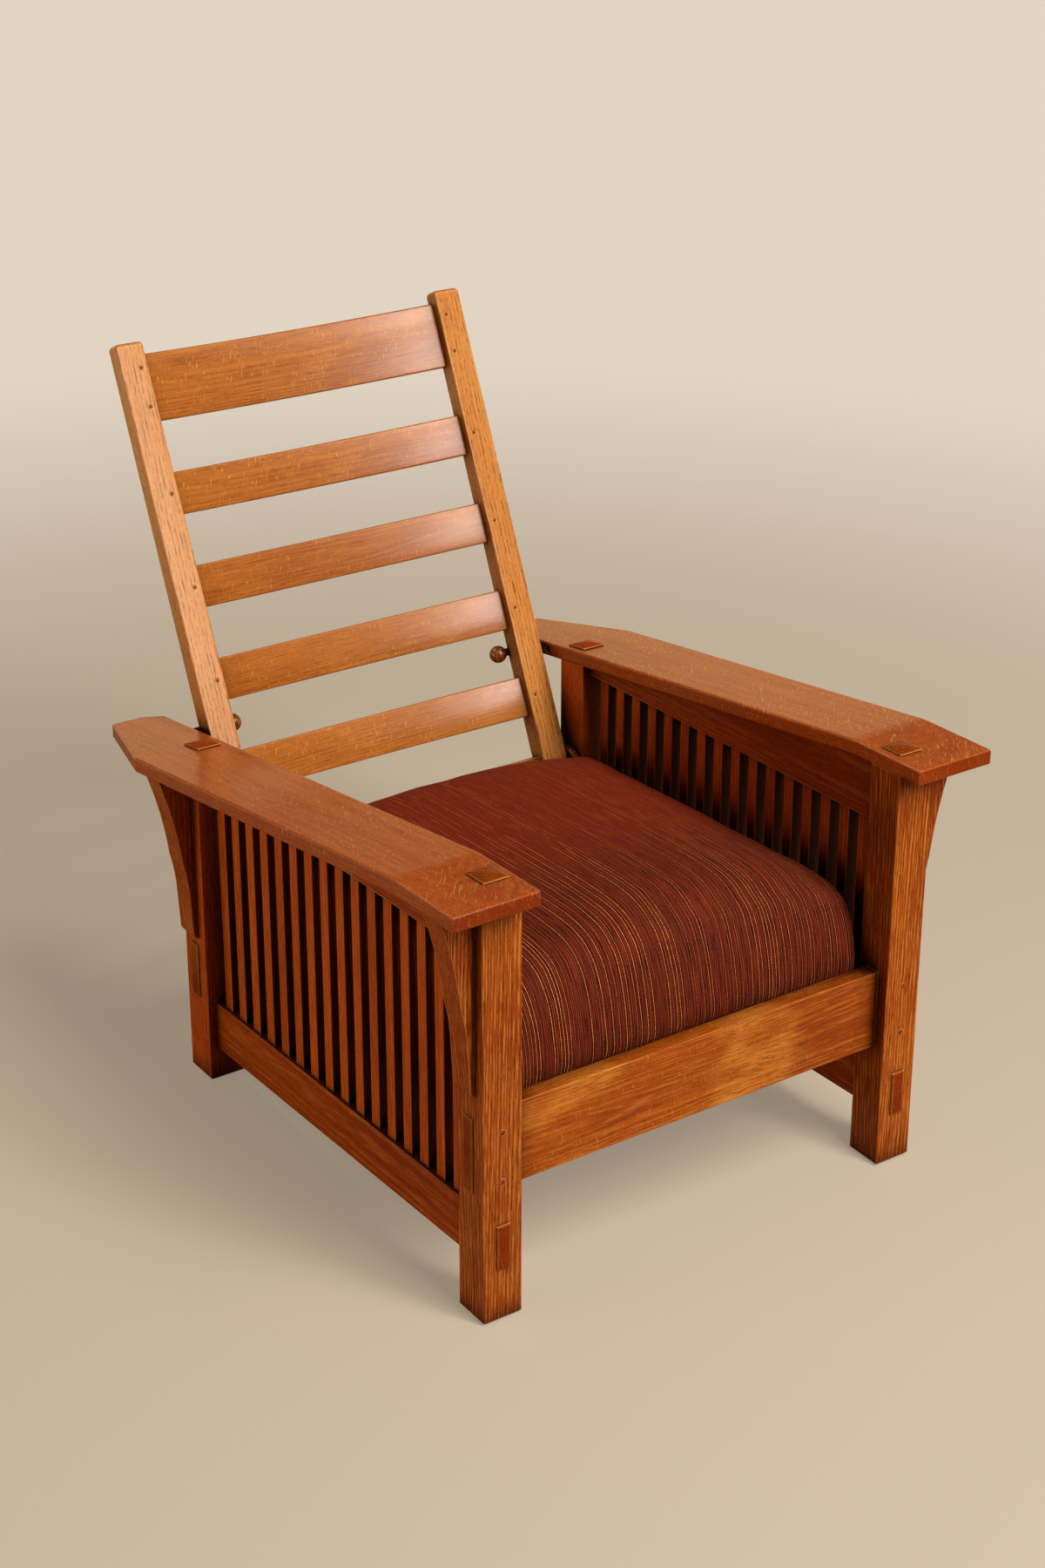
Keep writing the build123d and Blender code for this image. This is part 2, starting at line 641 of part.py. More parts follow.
def adjusting_pin():
    """A round pin with a turned ball for a head, in one piece."""
    y, z = adjusting_pin_seat()
    ball_x = STILE_INNER - BALL_GAP_TO_STILE - BALL_RADIUS
    radius = ADJUSTING_PIN_RADIUS
    neck = math.sqrt(BALL_RADIUS**2 - radius**2)
    end = ARM_INNER + ADJUSTING_PIN_IN_ARM - ball_x
    chamfer_start = end - ADJUSTING_PIN_END_CHAMFER
    edge = [
        ThreePointArc((-BALL_RADIUS, 0), (0, BALL_RADIUS), (neck, radius)),
        Line((neck, radius), (chamfer_start, radius)),
        Line((chamfer_start, radius), (end, radius - ADJUSTING_PIN_END_CHAMFER)),
        Line((end, radius - ADJUSTING_PIN_END_CHAMFER), (end, 0)),
        Line((end, 0), (-BALL_RADIUS, 0)),
    ]
    return Pos(ball_x, y, z) * revolve(make_face(edge), Axis.X)


def adjusting_holes():
    y, z = adjusting_pin_seat()
    depth = ADJUSTING_PIN_IN_ARM + ADJUSTING_HOLE_SPARE
    slope = math.radians(ARM_SLOPE)
    holes = []
    for step in range(-HOLES_AHEAD_OF_PIN, HOLES_BEHIND_PIN + 1):
        run = step * ADJUSTING_HOLE_PITCH
        holes.append(
            rod(
                ADJUSTING_PIN_DIAMETER + RUNNING_CLEARANCE * 2,
                (ARM_INNER - CUTTER_SPARE, ARM_INNER + depth),
                y + run * math.cos(slope),
                z - run * math.sin(slope),
            )
        )
    return holes


def on_seat(shape):
    """Tilts a piece drawn level to the seat's slope, from the front rail's rear face."""
    return Pos(0, FRONT_RAIL_REAR, SEAT_TOP_AT_FRONT) * Rot(X=-SEAT_SLOPE) * shape


def seat_length():
    room = REAR_RAIL_FRONT - FRONT_RAIL_REAR - 2 * SEAT_CLEARANCE
    return room / math.cos(math.radians(SEAT_SLOPE))


def seat_half_width():
    return LEG_INNER - SEAT_SIDE_CLEARANCE


def seat_bar_heights():
    return (-SEAT_SLAT_THICKNESS - SEAT_BAR_THICKNESS, -SEAT_SLAT_THICKNESS)


def seat_side_bar():
    outer = seat_half_width()
    low, high = seat_bar_heights()
    ends = (SEAT_CLEARANCE + SEAT_BAR_WIDTH, SEAT_CLEARANCE + seat_length() - SEAT_BAR_WIDTH)
    bar = block((outer - SEAT_BAR_WIDTH, outer), ends, (low, high))
    inset = (SEAT_BAR_THICKNESS - SEAT_TENON_THICKNESS) / 2
    tenon = block(
        (outer - SEAT_BAR_WIDTH + SEAT_TENON_SHOULDER, outer - SEAT_TENON_SHOULDER),
        (ends[0] - SEAT_TENON_LENGTH, ends[1] + SEAT_TENON_LENGTH),
        (low + inset, high - inset),
    )
    return bar + tenon


def seat_cross_bar(front):
    outer = seat_half_width()
    return block((-outer, outer), (front, front + SEAT_BAR_WIDTH), seat_bar_heights())


def seat_slat_places():
    first = SEAT_CLEARANCE + SEAT_SLAT_END_INSET + SEAT_SLAT_WIDTH / 2
    last = SEAT_CLEARANCE + seat_length() - SEAT_SLAT_END_INSET - SEAT_SLAT_WIDTH / 2
    step = (last - first) / (SEAT_SLAT_COUNT - 1)
    return [first + index * step for index in range(SEAT_SLAT_COUNT)]


def seat_slat(y):
    outer = seat_half_width() - SEAT_SLAT_INSET
    board = block(
        (-outer, outer),
        (y - SEAT_SLAT_WIDTH / 2, y + SEAT_SLAT_WIDTH / 2),
        (-SEAT_SLAT_THICKNESS, 0),
    )
    return ease(board, Axis.X, RAIL_EDGE_RADIUS)


def screw(length):
    """A countersunk wood screw, head at zero and pointing down."""
    head = Pos(0, 0, -SCREW_HEAD_HEIGHT / 2) * Cone(
        SCREW_SHANK_DIAMETER / 2, SCREW_HEAD_DIAMETER / 2, SCREW_HEAD_HEIGHT
    )
    shank = Pos(0, 0, -length / 2) * Cylinder(SCREW_SHANK_DIAMETER / 2, length)
    return head + shank


def slat_screws():
    x = seat_half_width() - SEAT_BAR_WIDTH / 2
    return [Pos(side * x, y, 0) * screw(SLAT_SCREW_LENGTH) for y in seat_slat_places() for side in (-1, 1)]


def above_seat_frame():
    tall = CLEAT_HEIGHT + SEAT_BAR_THICKNESS
    low = seat_bar_heights()[0]
    return on_seat(Pos(0, seat_length() / 2, low + tall / 2) * Box(FRAME_WIDTH, FRAME_DEPTH, tall))


def seat_frame_underside(y):
    low = seat_bar_heights()[0]
    return SEAT_TOP_AT_FRONT + low - (y - FRONT_RAIL_REAR) * math.tan(math.radians(SEAT_SLOPE))


def cleat(face, inward):
    """A bearer on a rail's inner face, its top cut to the seat frame's slope."""
    half = LEG_INNER - CLEAT_END_GAP
    far = face + inward * CLEAT_THICKNESS
    top = seat_frame_underside((face + far) / 2) + SEAT_BAR_THICKNESS / 2
    bottom = top - SEAT_BAR_THICKNESS / 2 - CLEAT_HEIGHT
    limits = (min(face, far), max(face, far))
    # The front cleat passes the front legs, which stand behind the rail's rear face
    bar = block((-half, half), limits, (bottom, top))
    return bar - above_seat_frame()


def cleat_screws(face, inward):
    far = face + inward * CLEAT_THICKNESS
    z = seat_frame_underside((face + far) / 2) - CLEAT_HEIGHT + CLEAT_SCREW_FROM_BOTTOM
    last = LEG_INNER - CLEAT_END_GAP - CLEAT_SCREW_END_INSET
    step = 2 * last / (CLEAT_SCREW_COUNT - 1)
    turn = Rot(X=-90) if inward < 0 else Rot(X=90)
    places = [-last + index * step for index in range(CLEAT_SCREW_COUNT)]
    return [Pos(x, far, z) * turn * screw(CLEAT_SCREW_LENGTH) for x in places]


def cushion_section(place, width, side, crown):
    """One upright slice across the cushion: flat foot, bulging sides and a crowned top."""
    half = CUSHION_HALF_WIDTH * width
    top_side = CUSHION_SIDE_HEIGHT * side
    foot = half * CUSHION_FOOT_SHARE
    corner = half * CUSHION_CORNER_SHARE
    bulge = top_side * CUSHION_BULGE_SHARE
    peak = top_side + CUSHION_CROWN * crown
    edge = [
        Line((-foot, 0), (foot, 0)),
        ThreePointArc((foot, 0), (half, bulge), (corner, top_side)),
        ThreePointArc((corner, top_side), (0, peak), (-corner, top_side)),
        ThreePointArc((-corner, top_side), (-half, bulge), (-foot, 0)),
    ]
    return Plane.XZ.offset(-CUSHION_DEPTH * place) * make_face(edge)


def seat_cushion():
    sections = [cushion_section(*shares) for shares in CUSHION_STATION_SHARES]
    return Pos(0, CUSHION_FRONT_GAP, CUSHION_UNDERSIDE_GAP) * loft(sections)


def frame_pieces():
    """The side frames and rails, each mortise cut by the piece that fills it."""
    pieces = {}
    rail = lower_side_rail()
    upper = apron()
    bars = [spindle(y) for y in spindle_places()]
    front_rail = cross_rail(FRONT_RAIL_SET_BACK, FRONT_RAIL_BOTTOM, FRONT_RAIL_HEIGHT, FRONT_TENON_SHOULDER)
    rear_rail = cross_rail(REAR_RAIL_FRONT, REAR_RAIL_BOTTOM, REAR_RAIL_HEIGHT, REAR_TENON_SHOULDER)
    front_pegs = rail_pegs(0, 1, FRONT_RAIL_BOTTOM, FRONT_RAIL_HEIGHT)
    rear_pegs = rail_pegs(FRAME_DEPTH, -1, REAR_RAIL_BOTTOM, REAR_RAIL_HEIGHT)
    front_screws = cleat_screws(FRONT_RAIL_REAR, 1)
    rear_screws = cleat_screws(REAR_RAIL_FRONT, -1)
    front_leg = leg(0)
    rear_leg = leg(REAR_LEG_FRONT)
    board = arm() - front_leg - rear_leg
    for hole in adjusting_holes():
        board = board - hole
    front_leg = front_leg - rail - upper - front_rail
    rear_leg = rear_leg - rail - upper - rear_rail - hinge_pin(RUNNING_CLEARANCE)
    for peg in front_pegs:
        front_leg = front_leg - peg
    for peg in rear_pegs:
        rear_leg = rear_leg - peg
    left = {
        "front_leg": front_leg,
        "rear_leg": rear_leg,
        "arm": board,
        "apron": upper - Compound(bars),
        "lower_side_rail": rail - Compound(bars),
        "spindles": bars,
        "front_corbel": corbel(0),
        "rear_corbel": corbel(REAR_LEG_FRONT),
        "hinge_spacer": hinge_spacer(),
    }
    for name, piece in left.items():
        pieces[name + "_left"] = piece
        if isinstance(piece, list):
            pieces[name + "_right"] = [mirrored(item) for item in piece]
        else:
            pieces[name + "_right"] = mirrored(piece)
    for item in front_pegs + front_screws:
        front_rail = front_rail - item
    for item in rear_pegs + rear_screws:
        rear_rail = rear_rail - item
    front_cleat = cleat(FRONT_RAIL_REAR, 1)
    rear_cleat = cleat(REAR_RAIL_FRONT, -1)
    pieces["front_rail"] = front_rail
    pieces["rear_rail"] = rear_rail
    pieces["front_rail_pegs"] = front_pegs
    pieces["rear_rail_pegs"] = rear_pegs
    pieces["front_cleat"] = front_cleat - Compound(front_screws)
    pieces["rear_cleat"] = rear_cleat - Compound(rear_screws)
    pieces["cleat_screws"] = front_screws + rear_screws
    return pieces


def seat_pieces():
    side = seat_side_bar()
    both = [side, mirrored(side)]
    screws = slat_screws()
    cutters = Compound(screws)
    front_bar = seat_cross_bar(SEAT_CLEARANCE) - both[0] - both[1]
    rear_bar = seat_cross_bar(SEAT_CLEARANCE + seat_length() - SEAT_BAR_WIDTH) - both[0] - both[1]
    flat = {
        "seat_frame_front": front_bar - cutters,
        "seat_frame_rear": rear_bar - cutters,
        "seat_frame_left": both[0] - cutters,
        "seat_frame_right": both[1] - cutters,
        "seat_slats": [seat_slat(y) - cutters for y in seat_slat_places()],
        "seat_slat_screws": screws,
        "seat_cushion": seat_cushion(),
    }
    pieces = {}
    for name, piece in flat.items():
        pieces[name] = [on_seat(item) for item in piece] if isinstance(piece, list) else on_seat(piece)
    return pieces


def back_pieces():
    slats = [bowed_slat(*span) for span in slat_spans()]
    low_rail = bottom_rail()
    pegs = back_pegs()
    all_pegs = pegs + [mirrored(peg) for peg in pegs]
    bar = stile() - low_rail
    for slat in slats:
        bar = bar - slat
    for peg in pegs:
        bar = bar - peg
    names = ["top", "second", "third", "fourth", "lowest"]
    pin = hinge_pin(0)
    left_stile = reclined(bar) - pin
    pieces = {
        "back_stile_left": left_stile,
        "back_stile_right": mirrored(left_stile),
        "back_bottom_rail": reclined(low_rail - Compound(all_pegs)),
        "back_pegs": [reclined(peg) for peg in all_pegs],
        "hinge_pin_left": pin,
        "hinge_pin_right": mirrored(pin),
        "adjusting_pin_left": adjusting_pin(),
        "adjusting_pin_right": mirrored(adjusting_pin()),
    }
    for name, slat in zip(names, slats):
        pieces["back_slat_" + name] = reclined(slat - Compound(all_pegs))
    return pieces


def leaned(piece):
    return Rot(X=-LEAN) * piece


def chair():
    """Every piece by name, leaned back onto its feet and centred over the origin."""
    pieces = {**frame_pieces(), **seat_pieces(), **back_pieces()}
    solids = {}
    for name, piece in pieces.items():
        items = piece if isinstance(piece, list) else [piece]
        solids[name] = [solid for item in items for solid in leaned(item).solids()]
    box = Compound([solid for group in solids.values() for solid in group]).bounding_box()
    shift = Pos(0, -(box.min.Y + box.max.Y) / 2, -box.min.Z)
    return {name: [shift * solid for solid in group] for name, group in solids.items()}, shift


def placed(y, z, shift):
    """A point in the square frame, after the lean and the shift."""
    return shift * (Rot(X=-LEAN) * Pos(0, y, z))


def main():
    os.makedirs("parts", exist_ok=True)
    parts, shift = chair()
    for name, group in parts.items():
        shape = group[0] if len(group) == 1 else Compound(group)
        export_step(shape, "parts/" + name + ".step")
    pin_y, pin_z = adjusting_pin_seat()
    for label, point in (("hinge line", (HINGE_Y, HINGE_HEIGHT)), ("adjusting pins", (pin_y, pin_z))):
        spot = placed(*point, shift).position
        print(label, "y", round(spot.Y, 3), "z", round(spot.Z, 3))
    box = Compound([solid for group in parts.values() for solid in group]).bounding_box()
    print("overall", round(box.size.X, 2), round(box.size.Y, 2), round(box.size.Z, 2), "shift", shift.position)


if __name__ == "__main__":
    main()
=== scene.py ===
"""Looks of an oak reclining armchair: finishes, eased bars, turned pins, cushion and stage."""

import math

import bmesh
import bpy
import numpy as np
from bpy.props import FloatProperty, FloatVectorProperty, IntProperty, PointerProperty
from mathutils import Matrix, Vector


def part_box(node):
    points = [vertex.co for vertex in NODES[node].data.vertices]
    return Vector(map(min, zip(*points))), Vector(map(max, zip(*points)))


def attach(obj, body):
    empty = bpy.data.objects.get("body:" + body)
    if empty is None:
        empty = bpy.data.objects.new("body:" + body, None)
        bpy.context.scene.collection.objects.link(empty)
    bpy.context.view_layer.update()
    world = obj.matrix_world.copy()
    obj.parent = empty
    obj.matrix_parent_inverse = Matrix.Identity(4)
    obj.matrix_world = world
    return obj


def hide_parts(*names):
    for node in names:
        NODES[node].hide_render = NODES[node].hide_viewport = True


bl_info = {
    "name": "Slatted reclining armchair",
    "version": (1, 0, 0),
    "blender": (4, 5, 0),
    "location": "3D View > Sidebar > Armchair",
    "description": "Oak finishes, eased slats and spindles, turned pins and a woven seat cushion",
    "category": "Object",
}

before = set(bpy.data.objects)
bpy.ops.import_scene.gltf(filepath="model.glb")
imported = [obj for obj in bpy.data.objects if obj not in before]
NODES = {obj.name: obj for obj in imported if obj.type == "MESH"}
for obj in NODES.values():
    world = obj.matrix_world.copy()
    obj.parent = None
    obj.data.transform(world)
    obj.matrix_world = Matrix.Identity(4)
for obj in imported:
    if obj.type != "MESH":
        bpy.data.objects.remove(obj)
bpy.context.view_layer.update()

# The chair's own frames, as the solids have them, in metres and degrees
LEAN = 2.096
SHIFT_Y = -0.531318
RECLINE = 23.53
HINGE_Y = 0.7255
HINGE_Z = 0.3437
ARM_SLOPE = 6.86
SEAT_SLOPE = 2.1
SEAT_FRONT_Y = 0.0435
SEAT_FRONT_Z = 0.275
LEG_MIDDLE = 0.33075
STILE_INNER = 0.2461
ARM_INNER = 0.3005
RAIL_TOP = 0.1495
APRON_BOTTOM = 0.5039
SPINDLE_ROW_FRONT = 0.056
SPINDLE_ROW_REAR = 0.6975
FRONT_RAIL_TOP = 0.298


def tilt(degrees):
    """A turn about X that leans what stands upright towards the rear."""
    return Matrix.Rotation(-math.radians(degrees), 4, "X")


CHAIR = Matrix.Translation((0, SHIFT_Y, 0)) @ tilt(LEAN)
BACK = CHAIR @ Matrix.Translation((0, HINGE_Y, HINGE_Z)) @ tilt(RECLINE)
SEAT = CHAIR @ Matrix.Translation((0, SEAT_FRONT_Y, SEAT_FRONT_Z)) @ tilt(SEAT_SLOPE)

# Turns whose Z runs along the grain and whose X runs across a board's face
ALONG_Z = Matrix.Identity(4)
ALONG_X = Matrix(((0, 0, 1, 0), (0, 1, 0, 0), (-1, 0, 0, 0), (0, 0, 0, 1)))
ALONG_Y = Matrix(((1, 0, 0, 0), (0, 0, 1, 0), (0, -1, 0, 0), (0, 0, 0, 1)))
ALONG_Y_UPRIGHT = Matrix(((0, 1, 0, 0), (0, 0, 1, 0), (1, 0, 0, 0), (0, 0, 0, 1)))

# Distance between neighbouring nodes in a tree, and the colour sockets of a Mix node
NODE_STEP = 220
MIX_FIRST, MIX_SECOND, MIX_RESULT = 6, 7, 2

# Least length taken as more than nothing, and the reach within which points are one, in metres
TINY = 1e-9
SAME_PLACE = 1e-5
SAME_PIN_PLACE = 1e-6

# Oak figure: cells of each pattern in a metre, across the board twice and then along its grain
WAVER_CELLS = (9, 9, 1.6)
RIPPLE_CELLS = (70, 70, 24)
FINE_PORE_CELLS = (1150, 1150, 120)
COARSE_PORE_CELLS = (620, 620, 48)
FIBRE_CELLS = (760, 760, 17)
TONE_CELLS = (14, 14, 2.4)
BREAK_CELLS = (330, 330, 26)
BEND_CELLS = (26, 26, 12)
PATCH_CELLS = (15, 15, 7.5)
STREAK_CELLS = (420, 420, 13)
FLECK_BEND_CELLS = (60, 60, 30)
FLECK_CELLS = (85, 85, 620)
FLECK_AREA_CELLS = (22, 22, 9)

# How far the rings' ripples, the patches and the flecks stray, in metres
RIPPLE_REACH = 0.0022
PATCH_REACH = 0.02
FLECK_REACH = 0.004

# Uneven rings: how slowly their widths change, and by how many rings they drift
RING_CHANGE = 0.31
RING_DRIFT = 1.6

# Values of each measure between which its feature comes in
LATE_WOOD = (0.3, 0.08)
EARLY_WOOD = (0.22, 0.42)
FINE_PORES = (0.56, 0.65)
COARSE_PORES = (0.56, 0.66)
COARSE_PORE_RINGS = (0.1, 0.7)
FIBRES = (0.34, 0.66)
TONES = (0.3, 0.7)
BROKEN_LINES = (0.42, 0.6)
PATCHES = (0.44, 0.68)
STREAKS = (0.36, 0.58)
FLECKS = (0.65, 0.7)
FLECK_AREAS = (0.3, 0.5)

# Strengths of the oak's features, as shares
FINE_PORE_GROUND = 0.4
RING_TONE = 0.35
FIBRE_TONE = 0.55
TONE_FROM, TONE_TO = -0.15, 0.35
STREAK_GROUND = 0.35
WOOD_ROUGHNESS = 0.4
PORE_ROUGHNESS = 0.26
FLECK_HEIGHT = 0.15

# Seeds: shift of the broken ring lines, of each board on each axis, and how names become numbers
BREAK_SEED = (5.1, 2.3, 7.7)
SEED_SPREAD = (3.1, 1.7, 5.3)
SEED_COUNT = 97
SEEDS_TO_ONE = 7

# Corners lightened by wear and painted highlight, gaps darkened by painted shade, and cut ends:
# samples, the cosines between which a corner shows, and shares
MASK_SAMPLES = 6
CORNER_COSINES = (0.995, 0.8)
OPEN_FACE = 0.93
CUT_END = (0.6, 0.95)
CUT_END_COAT_LOSS = 0.7
WEAR_AND_HIGHLIGHT_SHARE = 0.85
GRAIN_BUMP, GRAIN_DEPTH = 0.5, 0.0005
OAK_SPECULAR = 0.06

# Dulled plating of screws and hinge pins
PLATE_CELLS = (260, 260, 260)
PLATE_DARK = (0.34, 0.33, 0.31, 1)
PLATE_LIGHT = (0.56, 0.55, 0.52, 1)
PLATE_ROUGHNESS = (0.3, 0.7, 0.28, 0.5)
PLATE_BUMP, PLATE_DEPTH = 0.15, 0.0002

# Noise along each stripe of the weave: its own shift, cells in a metre and detail
SWAY_RUN = (5.7, 18, 1.0)
TWIST_RUN = (7.3, 420, 1.0)
FADE_RUN = (3.9, 22, 2.0)
SWAY_DRAW = 0.0
BRIGHT_DRAW = 31.7

# Weave patterns: cells in a metre across the stripes and along them, and the ribs' spacing
SPECKLE_CELLS = (640, 1100, 1)
YARN_CELLS = (520, 22, 1)
BLOTCH_CELLS = (14, 9, 1)
RIB_SPACING = 0.0021

# Ranges of the weave: values from and to, and where given what they become
STRIPE_SWAY = 0.3
SLOW_SWAY = (0.3, 0.7, -0.07, 0.07)
STRIPE_EDGE = (0.6, 1.25)
STRIPE_BRIGHT = (0.2, 0.88, 0.14, 1.0)
STRIPE_TWIST = (0.36, 0.54, 0.5, 1.0)
STRIPE_FADE = (0.36, 0.54)
# Towards the front, painted sheen makes the stripes whole and bright
FRONT_FADE = (0.5, 1.0, 0.1, 0.75)
FAR_SIDE_FADE = (0.02, 0.3, 1.0, 0.5)
TROUGH_INNER = (1.0, 1.7)
TROUGH_OUTER = (5.4, 3.4)
TROUGH_BRIGHT = (0.1, 0.8, 0.6, 1.0)
WARM_YARNS = (0.5, 0.68, 0.0, 0.85)
SPECKLES = (0.42, 0.62, 0.0, 0.55)
BLOTCHES = (0.3, 0.62, 0.5, 1.0)
DARK_YARNS = (0.5, 0.34, 0.0, 0.6)
# Towards the front, painted shade deepens the yarns; the next is the mask of painted sheen and
# shade
FRONT_DARK = (0.45, 1.0, 0.3, 1.0)
FRONT_SHEEN_AND_SHADE = (-0.42, -0.02, 1.0, 0.45)

# Finish of the weave: roughness, relief and sheen, as shares, and the depth of its relief in metres
WEAVE_ROUGHNESS, STRIPE_SMOOTHING = 0.78, -0.2
RIB_RELIEF, STRIPE_RELIEF, DARK_RELIEF = 0.35, 0.8, 0.4
WEAVE_BUMP, WEAVE_DEPTH = 0.6, 0.0006
SHEEN, SHEEN_ROUGHNESS = 0.035, 0.45
SHEEN_TINT = (0.9, 0.3, 0.14, 1)
WEAVE_SPECULAR = 0.1

# Shift of the grain from one board of a row to the next
SPINDLE_SPREAD = (0.061, 0.043, 0.9)
SLAT_SPREAD = (0.052, 0.037, 1.3)

# Points on a bar's rounded edge and along its length, and steps round a pin's ball
EDGE_POINTS = 4
STRAIGHT_POINTS = 2
BOWED_POINTS = 41
BALL_STEPS = 24

# Angles past which a corner stays crisp, in degrees
BAR_CREASE = 12
PIN_CREASE = 30

# Cells of the cushion's skin: across, front to rear, upright, and how they crowd to the edges
SKIN_CELLS = (50, 54, 14)
CROWDING = 1.4

# Falls of the cushion's height, as shares, with the distance over which each dies away, in metres
FRONT_FALL, FRONT_FALL_REACH = 0.1, 0.035
FRONT_SLOPE, FRONT_SLOPE_REACH = 0.05, 0.18
REAR_FALL, REAR_FALL_REACH = 0.05, 0.03
CORNER_FALL, CORNER_FALL_REACH = 0.06, 0.05
NOSE_REACH = 0.12
CROWN_LOSS_FRONT, CROWN_LOSS_REAR = 0.6, 0.4
EDGE_POWER = 6

# Where the cover's panels lie on its map, in metres
TOP_PANEL = 0.11
SIDE_PANEL = 2
REAR_PANEL = 3

# Cloth of the cover while the stuffing swells
CLOTH = {
    "quality": 6,
    "mass": 0.3,
    "use_pressure": True,
    "tension_stiffness": 12,
    "compression_stiffness": 12,
    "bending_stiffness": 0.4,
}
CLOTH_FRAMES = 20

# Bounds that keep the cushion off its neighbours, in the seat's frame, in metres
ABOVE_SEAT = 0.0006
WITHIN_SIDES = 0.3006
RAIL_MARGIN = 0.004
BEHIND_RAIL = 0.0012
OVER_RAIL = -0.009

# Stage: film height in millimetres, floor in metres, and strengths as shares
FILM_HEIGHT = 36
FLOOR_REACH = 14.0
FLOOR_FADE = (1.2, 3.6)
FLOOR_ROUGHNESS = 0.7
FLOOR_EVEN_STRENGTH, FLOOR_EVEN_SHARE = 0.86, 0.45
HAZE_TOP = (0.1, 0.32)
HAZE_BEHIND = (-0.2, 0.4)
GLINT_SIDES = (0.7, 0.95)
GLINT_RISE = (0.5, 0.62)
MIRRORED_DARK = (0.07, 0.06, 0.05, 1)
EVEN_TINT = (1.0, 0.95, 0.88, 1)
MIRRORED_STRENGTH = 1.2
SEEN_STRENGTH = 0.9

# Lamps: where each stands, what it faces, its size and its tint
LAMPS = {
    "key": ((0.8, -3.6, 5.2), (0, 0, 0.45), (2.6, 2.6), (1.0, 0.96, 0.9)),
    "gloss": ((1.16, -3.8, 2.8), (0.25, 0.25, 0.8), (1.0, 1.5), (1.0, 0.97, 0.93)),
    "fill": ((-5.0, 0.8, 0.8), (0, 0, 0.35), (2.4, 1.0), (1.0, 0.86, 0.7)),
}


def linear(value):
    """Linear light from a screen value of 0 to 255, by the screen standard's curve."""
    part = value / 255
    return part / 12.92 if part <= 0.04045 else ((part + 0.055) / 1.055) ** 2.4


def colour(name, red, green, blue, description):
    """A colour property from its screen values, 0 to 255."""
    return FloatVectorProperty(
        name=name,
        description=description,
        subtype="COLOR",
        size=4,
        min=0,
        max=1,
        default=(linear(red), linear(green), linear(blue), 1),
    )


def length(name, value, description):
    return FloatProperty(name=name, description=description, default=value, min=0, unit="LENGTH")


def share(name, value, description, highest=1):
    return FloatProperty(name=name, description=description, default=value, min=0, max=highest)


def count(name, value, description):
    return IntProperty(name=name, description=description, default=value, min=1)


def angle(name, degrees, description):
    turn = math.radians(degrees)
    return FloatProperty(name=name, description=description, default=turn, unit="ROTATION")


def power(name, watts, description):
    return FloatProperty(name=name, description=description, default=watts, unit="POWER")


class OakSettings(bpy.types.PropertyGroup):
    """Colours and finish of the oak."""

    frame_light: colour("Frame light", 182, 86, 16, "Late wood of the front legs and cross rails")
    frame_dark: colour("Frame dark", 134, 50, 7, "Early wood of the front legs and cross rails")
    side_light: colour("Side light", 186, 80, 13, "Late wood of side rails, corbels and pegs")
    side_dark: colour("Side dark", 134, 44, 5, "Early wood of side rails, corbels and pegs")
    spindle_light: colour("Spindle light", 222, 96, 16, "Late wood of spindles and rear legs")
    spindle_dark: colour("Spindle dark", 170, 58, 7, "Early wood of spindles and rear legs")
    arm_light: colour("Arm light", 186, 85, 22, "Late wood of the arms")
    arm_dark: colour("Arm dark", 154, 61, 11, "Early wood of the arms")
    back_light: colour("Stile light", 230, 158, 82, "Late wood of the back's stiles")
    back_dark: colour("Stile dark", 202, 119, 46, "Early wood of the back's stiles")
    slat_light: colour("Slat light", 190, 110, 36, "Late wood of the back's slats")
    slat_dark: colour("Slat dark", 157, 78, 18, "Early wood of the back's slats")
    inner_light: colour("Inner light", 150, 84, 32, "Late wood of the seat's bars and slats")
    inner_dark: colour("Inner dark", 110, 52, 18, "Early wood of the seat's bars and slats")
    turned_light: colour("Pin light", 156, 74, 24, "Late wood of adjusting pins and spacers")
    turned_dark: colour("Pin dark", 104, 42, 12, "Early wood of adjusting pins and spacers")
    pore: colour("Pore", 70, 24, 4, "Stain held in the open pores")
    fleck: colour("Fleck", 236, 154, 60, "Pale ray flecks on quartered boards")
    ring_spacing: length("Ring spacing", 0.0034, "Distance from one year ring to the next")
    coat: share("Coat", 0.8, "Strength of the clear coat")
    coat_roughness: share("Coat roughness", 0.21, "Satin of the clear coat")
    # The recess colour is painted shade: it darkens inner corners and gaps, where shade falls
    recess_shade: colour("Recess shade", 44, 26, 16, "How far stain and dust darken inner corners and gaps")
    recess_shade_reach: length("Recess reach", 0.045, "How near another part must be to darken the oak")
    # The worn edge colour lightens every corner: partly wear, partly a painted highlight
    worn: colour("Edge wear and highlight", 250, 176, 92, "Lighter wood along rubbed corners")
    end_grain: colour("End grain", 206, 180, 158, "How far the stain darkens cut ends")
    softened_edge: length("Softened edge", 0.0028, "Width over which sharp corners are softened")


